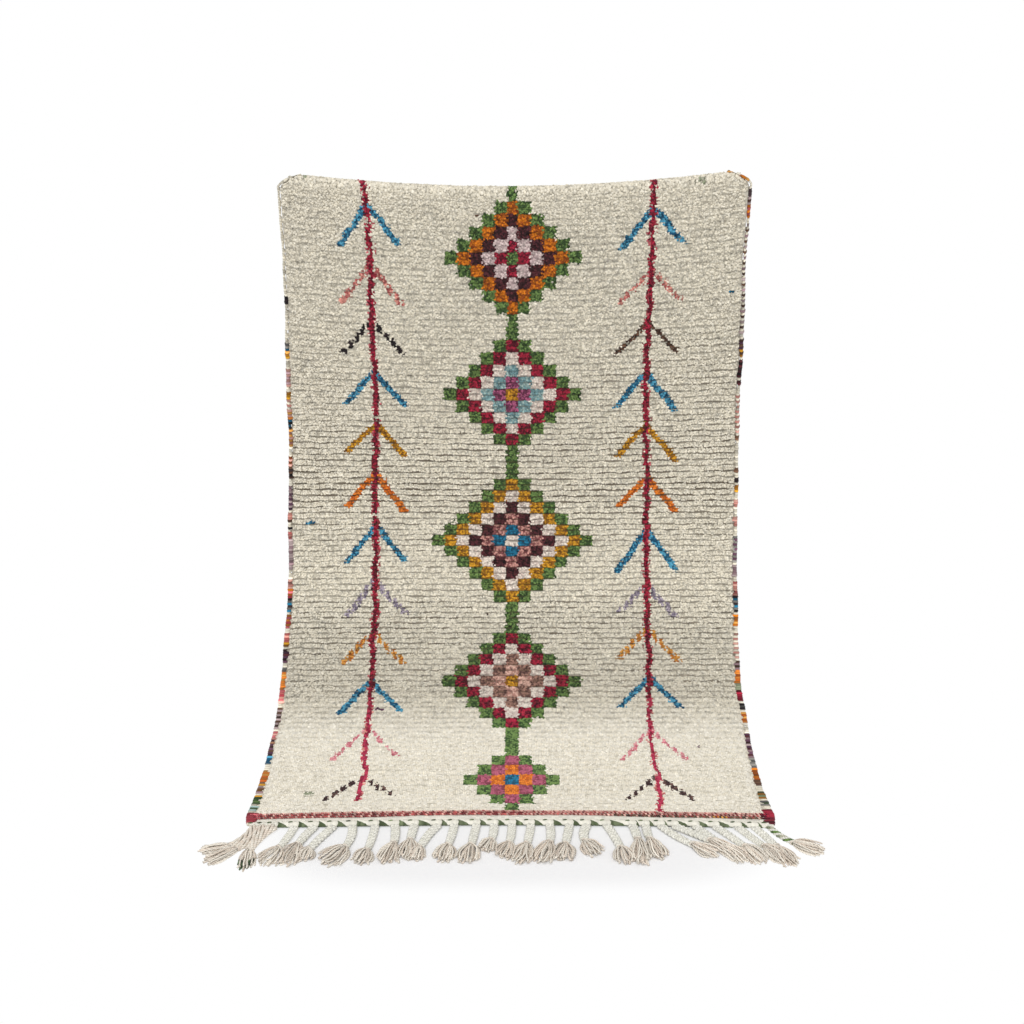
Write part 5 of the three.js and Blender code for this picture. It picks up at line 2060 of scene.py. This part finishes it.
@dataclass
class Fringe:
    """The tassels: a braid or a rope, a knot, and a tuft of plied yarns on the floor."""

    drape: Drape
    dyebath: Dyebath
    rng: np.random.Generator
    ropes: int = 3
    green_tuft: int = 2
    layers: tuple[int, ...] = (12, 9, 6)
    yarn_half: float = 1.7

    def build(self, finish: bpy.types.Material) -> list[bpy.types.Object]:
        """Makes a piece of each tassel.

        Args:
            finish: the yarns' finish.

        Returns:
            The pieces.
        """
        made = []
        for index, tassel in enumerate(TASSELS):
            node = f"tassel_{index + 1:02d}"
            plait = FLAT_BRAID
            if index < self.ropes:
                plait = LOOSE_ROPE
            if index == len(TASSELS) - 1:
                plait = GREEN_ROPE
            tuft = self.tuft(tassel, index == self.green_tuft)
            shape = join([self.strands(tassel, plait), self.knot(tassel), tuft])
            made.append(add_piece(f"{node}_yarns", shape, finish, "tassel_yarn", node))
        return made

    def root(self, tassel: Tassel) -> np.ndarray:
        """The point on the floor where a tassel leaves the cord."""
        front = STRIP_END + 2 * CORD_GAP + CORD_WIDTH
        return self.drape.points(np.array(tassel.root), np.array(front), np.array(0.0)) * [1, 1, 0]

    def turned(self, tassel: Tassel) -> float:
        """The braid's lean at its knot."""
        return tassel.lean + 0.35 * (tassel.tuft_lean - tassel.lean)

    def strands(self, tassel: Tassel, plait: Plait) -> Shape:
        """The strands, a share of a turn apart: each swings sideways by A sin(t), and upwards by
        B sin(2 t) in a braid of three or B cos(t) in a rope.

        Args:
            tassel: its sizes.
            plait: how its strands run.

        Returns:
            The shape.
        """
        reach = np.linspace(-2.0, tassel.braid + 2.0, 19)
        lean = tassel.lean + 0.35 * (tassel.tuft_lean - tassel.lean) * reach / tassel.braid
        middle = self.root(tassel) + heading(lean) * reach[:, None]
        phase = 2 * np.pi * (reach / plait.turn + np.arange(plait.strands)[:, None] / plait.strands)
        narrow = 1 - 0.2 * smoothstep(reach, 0.5 * tassel.braid, tassel.braid)
        swing = plait.upwards * (np.sin(2 * phase) if plait.strands == 3 else np.cos(phase))
        flat = 1 + 0.28 * abs(np.sin(np.radians(tassel.lean)))
        sideways = plait.sideways * flat * narrow * np.sin(phase)
        paths = middle[None] + aside(lean)[None] * sideways[..., None]
        paths[..., 2] = plait.high + plait.upwards + 0.2 + swing
        yarns = np.array([yarn_number(yarn) for yarn in plait.yarns])
        numbers = np.repeat(yarns[np.arange(plait.strands) % len(yarns)][:, None], len(reach), axis=1)
        colours = self.dyebath.colours(numbers, 0.03)
        return tubes_along(paths, np.array(plait.wide * flat), np.array(plait.high), 6, colours, 0.9)

    def knot(self, tassel: Tassel) -> Shape:
        """A wrap round the end of the braid: a closed ring, tilted a little."""
        lean = self.turned(tassel)
        middle = self.root(tassel) + heading(lean) * (tassel.braid + 0.5)
        around = 2 * np.pi * np.arange(17) / 16
        ring = (
            middle
            + aside(lean) * (5.2 * np.cos(around))[:, None]
            + heading(lean) * (1.8 * np.cos(around))[:, None]
        )
        ring[:, 2] = 5.8 + 3.4 * np.sin(around)
        radial = aside(lean) * np.cos(around)[:, None]
        radial = radial + np.array([0, 0, 1.0]) * np.sin(around)[:, None]
        turn = turns(6)
        rings = ring[:, None] + 2.3 * (
            radial[:, None] * np.cos(turn)[:, None] + heading(lean) * np.sin(turn)[:, None]
        )
        numbers = np.full((1, len(around)), yarn_number(Yarn.UNDYED))
        return tubes(rings[None], self.dyebath.colours(numbers, 0.04), 0.9)

    def tuft(self, tassel: Tassel, green: bool) -> Shape:
        """Plied yarns that leave the knot side by side, spread, and draw in again at their ends.

        Each yarn is walked along in equal steps. Its heading is the tuft's lean, plus its place
        in the fan times a spread that falls from the flare to less than nothing, plus a hook at
        its end and a slight wander, both by chance. The flare, in radians, is what takes the
        outer yarns as far as half the tuft's width: (fan - 4) / (0.38 length), at most 1.2.

        Args:
            tassel: its sizes.
            green: whether some of its yarns end in green.

        Returns:
            The shape.
        """
        draw = self.rng
        count = sum(self.layers)
        layer = np.repeat(np.arange(len(self.layers)), self.layers)
        rows = [np.linspace(-1, 1, n) * (1 - 0.16 * i) for i, n in enumerate(self.layers)]
        within = np.concatenate(rows) + draw.uniform(-0.16, 0.16, count)
        t = np.linspace(0, 1, 10)
        flare = np.degrees(np.clip((tassel.fan - 4.0) / (0.38 * tassel.tuft), 0.25, 1.2))
        spread = within[:, None] * flare * (1 - 1.3 * t)
        hook = draw.normal(0, 17, count)[:, None] * smoothstep(t, 0.45, 1)
        waves = draw.uniform(0.8, 1.6, count)[:, None] * t + draw.random((count, 1))
        sway = 8 * np.sin(2 * np.pi * waves)
        directions = heading(tassel.tuft_lean + spread + hook + sway)
        length = tassel.tuft * draw.uniform(0.92, 1.1, count) * (1.04 - 0.2 * within**2)
        steps = directions[:, :-1] * (length / (len(t) - 1))[:, None, None]
        walked = np.concatenate([np.zeros((count, 1, 3)), np.cumsum(steps, axis=1)], axis=1)
        start = self.root(tassel) + heading(self.turned(tassel)) * (tassel.braid + 1.5)
        paths = start + aside(tassel.tuft_lean) * (4.6 * within)[:, None, None] + walked
        level = 1.1 * self.yarn_half * (1 + 1.7 * layer)
        begin = 4.6 + 2.1 * layer
        fall = 1 - smoothstep(t, 0.1, 0.8)
        heap = (1.6 + np.abs(draw.normal(0, 1.0, count)))[:, None] * np.sin(np.pi * t)
        heap = heap * (layer[:, None] > 0)
        paths[..., 2] = level[:, None] + (begin - level)[:, None] * fall + heap
        slim = 1 - 0.15 * (1 - smoothstep(t, 0.0, 0.3)) - 0.12 * smoothstep(t, 0.9, 1.0)
        half = self.yarn_half * slim * (draw.uniform(0.9, 1.12, count) + 0.3 * (layer == 0))[:, None]
        numbers = np.full((count, len(t)), yarn_number(Yarn.UNDYED))
        colours = self.dyebath.colours(numbers[:, :1], 0.05) * np.ones((1, len(t), 1))
        if green:
            tips = np.arange(0, count, 2)
            numbers[tips, 7:] = yarn_number(Yarn.DEEP_GREEN)
            colours[tips, 7:] = self.dyebath.colours(numbers[tips, 7:], 0.2)
        # Painted shade: each yarn of the tuft a little darker where it leaves the knot.
        colours *= (0.92 + 0.08 * smoothstep(t, 0.0, 0.3))[None, :, None]
        return tubes_along(paths, half, half * 0.95, 4, colours, 0.8)


# Light, floor and camera


WHITE = (1.0, 1.0, 1.0, 1.0)


@dataclass
class Studio:
    """A plain pale floor under plain soft light, and a camera at the photograph's angle."""

    focal_pixels: float = 1200.0
    image_pixels: float = 1024.0
    sensor: float = 36.0
    tilt: float = 21.70
    camera_y: float = -1.9379
    camera_z: float = 1.4051
    floor_half: float = 9.0
    lit_middle: tuple[float, float, float] = (0.0, -0.03, 0.0)
    lit_shares: tuple[float, float, float] = (1.8, 4.6, 0.0)
    fade_from: float = 0.4
    fade_to: float = 0.85
    sun: float = 1.8
    sun_angle: float = 60.0
    world_light: float = 0.59

    def build(self) -> None:
        """Sets the camera, the floor, the lights and the world."""
        self.camera()
        self.floor()
        self.lights()
        self.world()
        bpy.context.scene.view_settings.view_transform = "Standard"

    def camera(self) -> None:
        """A camera on the middle plane, tilted down."""
        data = bpy.data.cameras.new("camera")
        data.sensor_width = self.sensor
        data.lens = self.sensor * self.focal_pixels / self.image_pixels
        data.clip_start = 0.05
        made = bpy.data.objects.new("camera", data)
        made.location = (0, self.camera_y, self.camera_z)
        made.rotation_euler = (np.radians(90 - self.tilt), 0, 0)
        bpy.context.scene.collection.objects.link(made)
        bpy.context.scene.camera = made

    def floor(self) -> None:
        """A white floor, shaded in a rounded oblong round the fringe, whose rim is where
        x^4 + y^4 of the scaled place is even, that fades into the white round it."""
        half = self.floor_half
        corners = [(-half, -half, 0), (half, -half, 0), (half, half, 0), (-half, half, 0)]
        mesh = bpy.data.meshes.new("floor")
        mesh.from_pydata(corners, [], [(0, 1, 2, 3)])
        made = bpy.data.objects.new("floor", mesh)
        bpy.context.scene.collection.objects.link(made)
        material = bpy.data.materials.new("floor")
        material.use_nodes = True
        bench = Bench(material.node_tree)
        plain = {"Base Color": (0.86, 0.86, 0.87, 1), "Roughness": 1.0, "Specular IOR Level": 0.0}
        shader = bench.fill(material.node_tree.nodes["Principled BSDF"], plain)
        white = bench.fill(bench.node("ShaderNodeEmission"), {"Color": WHITE})
        place = bench.node("ShaderNodeTexCoord").outputs["Object"]
        oval = bench.vector("MULTIPLY", bench.vector("SUBTRACT", place, self.lit_middle), self.lit_shares)
        away = bench.node("ShaderNodeVectorMath", operation="LENGTH")
        bench.fill(away, {0: bench.vector("MULTIPLY", oval, oval)})
        share = bench.node("ShaderNodeMapRange", interpolation_type="SMOOTHSTEP")
        reach = {"From Min": self.fade_from, "From Max": self.fade_to}
        bench.fill(share, {**reach, "Value": away.outputs["Value"]})
        surface = bench.blend(share.outputs[0], shader.outputs[0], white.outputs[0])
        bench.fill(material.node_tree.nodes["Material Output"], {"Surface": surface})
        mesh.materials.append(material)

    def lights(self) -> None:
        """One very wide soft light from high in front."""
        data = bpy.data.lights.new("overhead", "SUN")
        data.energy = self.sun
        data.angle = np.radians(self.sun_angle)
        made = bpy.data.objects.new("overhead", data)
        made.rotation_euler = (np.radians(33), np.radians(-6), 0)
        bpy.context.scene.collection.objects.link(made)

    def world(self) -> None:
        """White where the camera sees it, and a softer white as light."""
        world = bpy.data.worlds.new("studio")
        bpy.context.scene.world = world
        world.use_nodes = True
        bench = Bench(world.node_tree)
        light = world.node_tree.nodes["Background"]
        bench.fill(light, {"Color": WHITE, "Strength": self.world_light})
        seen = bench.fill(bench.node("ShaderNodeBackground"), {"Color": WHITE})
        ray = bench.node("ShaderNodeLightPath").outputs["Is Camera Ray"]
        surface = bench.blend(ray, light.outputs[0], seen.outputs[0])
        bench.fill(world.node_tree.nodes["World Output"], {"Surface": surface})


def main() -> None:
    """Builds the studio and every piece in order."""
    logging.basicConfig(level=logging.INFO, format="%(message)s")
    rng = np.random.default_rng(SEED)
    Studio().build()
    drape, chart, rows = Drape(), Chart(), KnotRows()
    dyebath = Dyebath(rng)
    groups = Groups()
    pile_wool = Wool("pile_wool", plies=0.5).material(groups)
    ground_wool = Wool("ground_wool", relief=Relief.WEAVE, fibre_scale=1200).material(groups)
    binding_yarn = Wool("binding_yarn", sheen=0.1, drift=0.0).material(groups)
    cord_yarn = Wool("cord_yarn", drift=0.0).material(groups)
    tassel_yarn = Wool("tassel_yarn", drift=0.0, relief=Relief.PLY).material(groups)

    ground = Ground(drape, chart, rows, dyebath).build(ground_wool)
    on_cloth = Pile(drape, chart, rows, dyebath, rng).build(pile_wool)
    on_cloth.append(Selvedge(drape, dyebath, -1, LEFT_RUNS).build(binding_yarn))
    on_cloth.append(Selvedge(drape, dyebath, 1, RIGHT_RUNS).build(binding_yarn))
    on_cloth.append(TwinedBand(drape, dyebath, rng).build(cord_yarn))
    on_cloth.append(EndCord(drape, dyebath).build(cord_yarn))
    on_cloth += Fringe(drape, dyebath, rng).build(tassel_yarn)


if __name__ == "__main__":
    main()
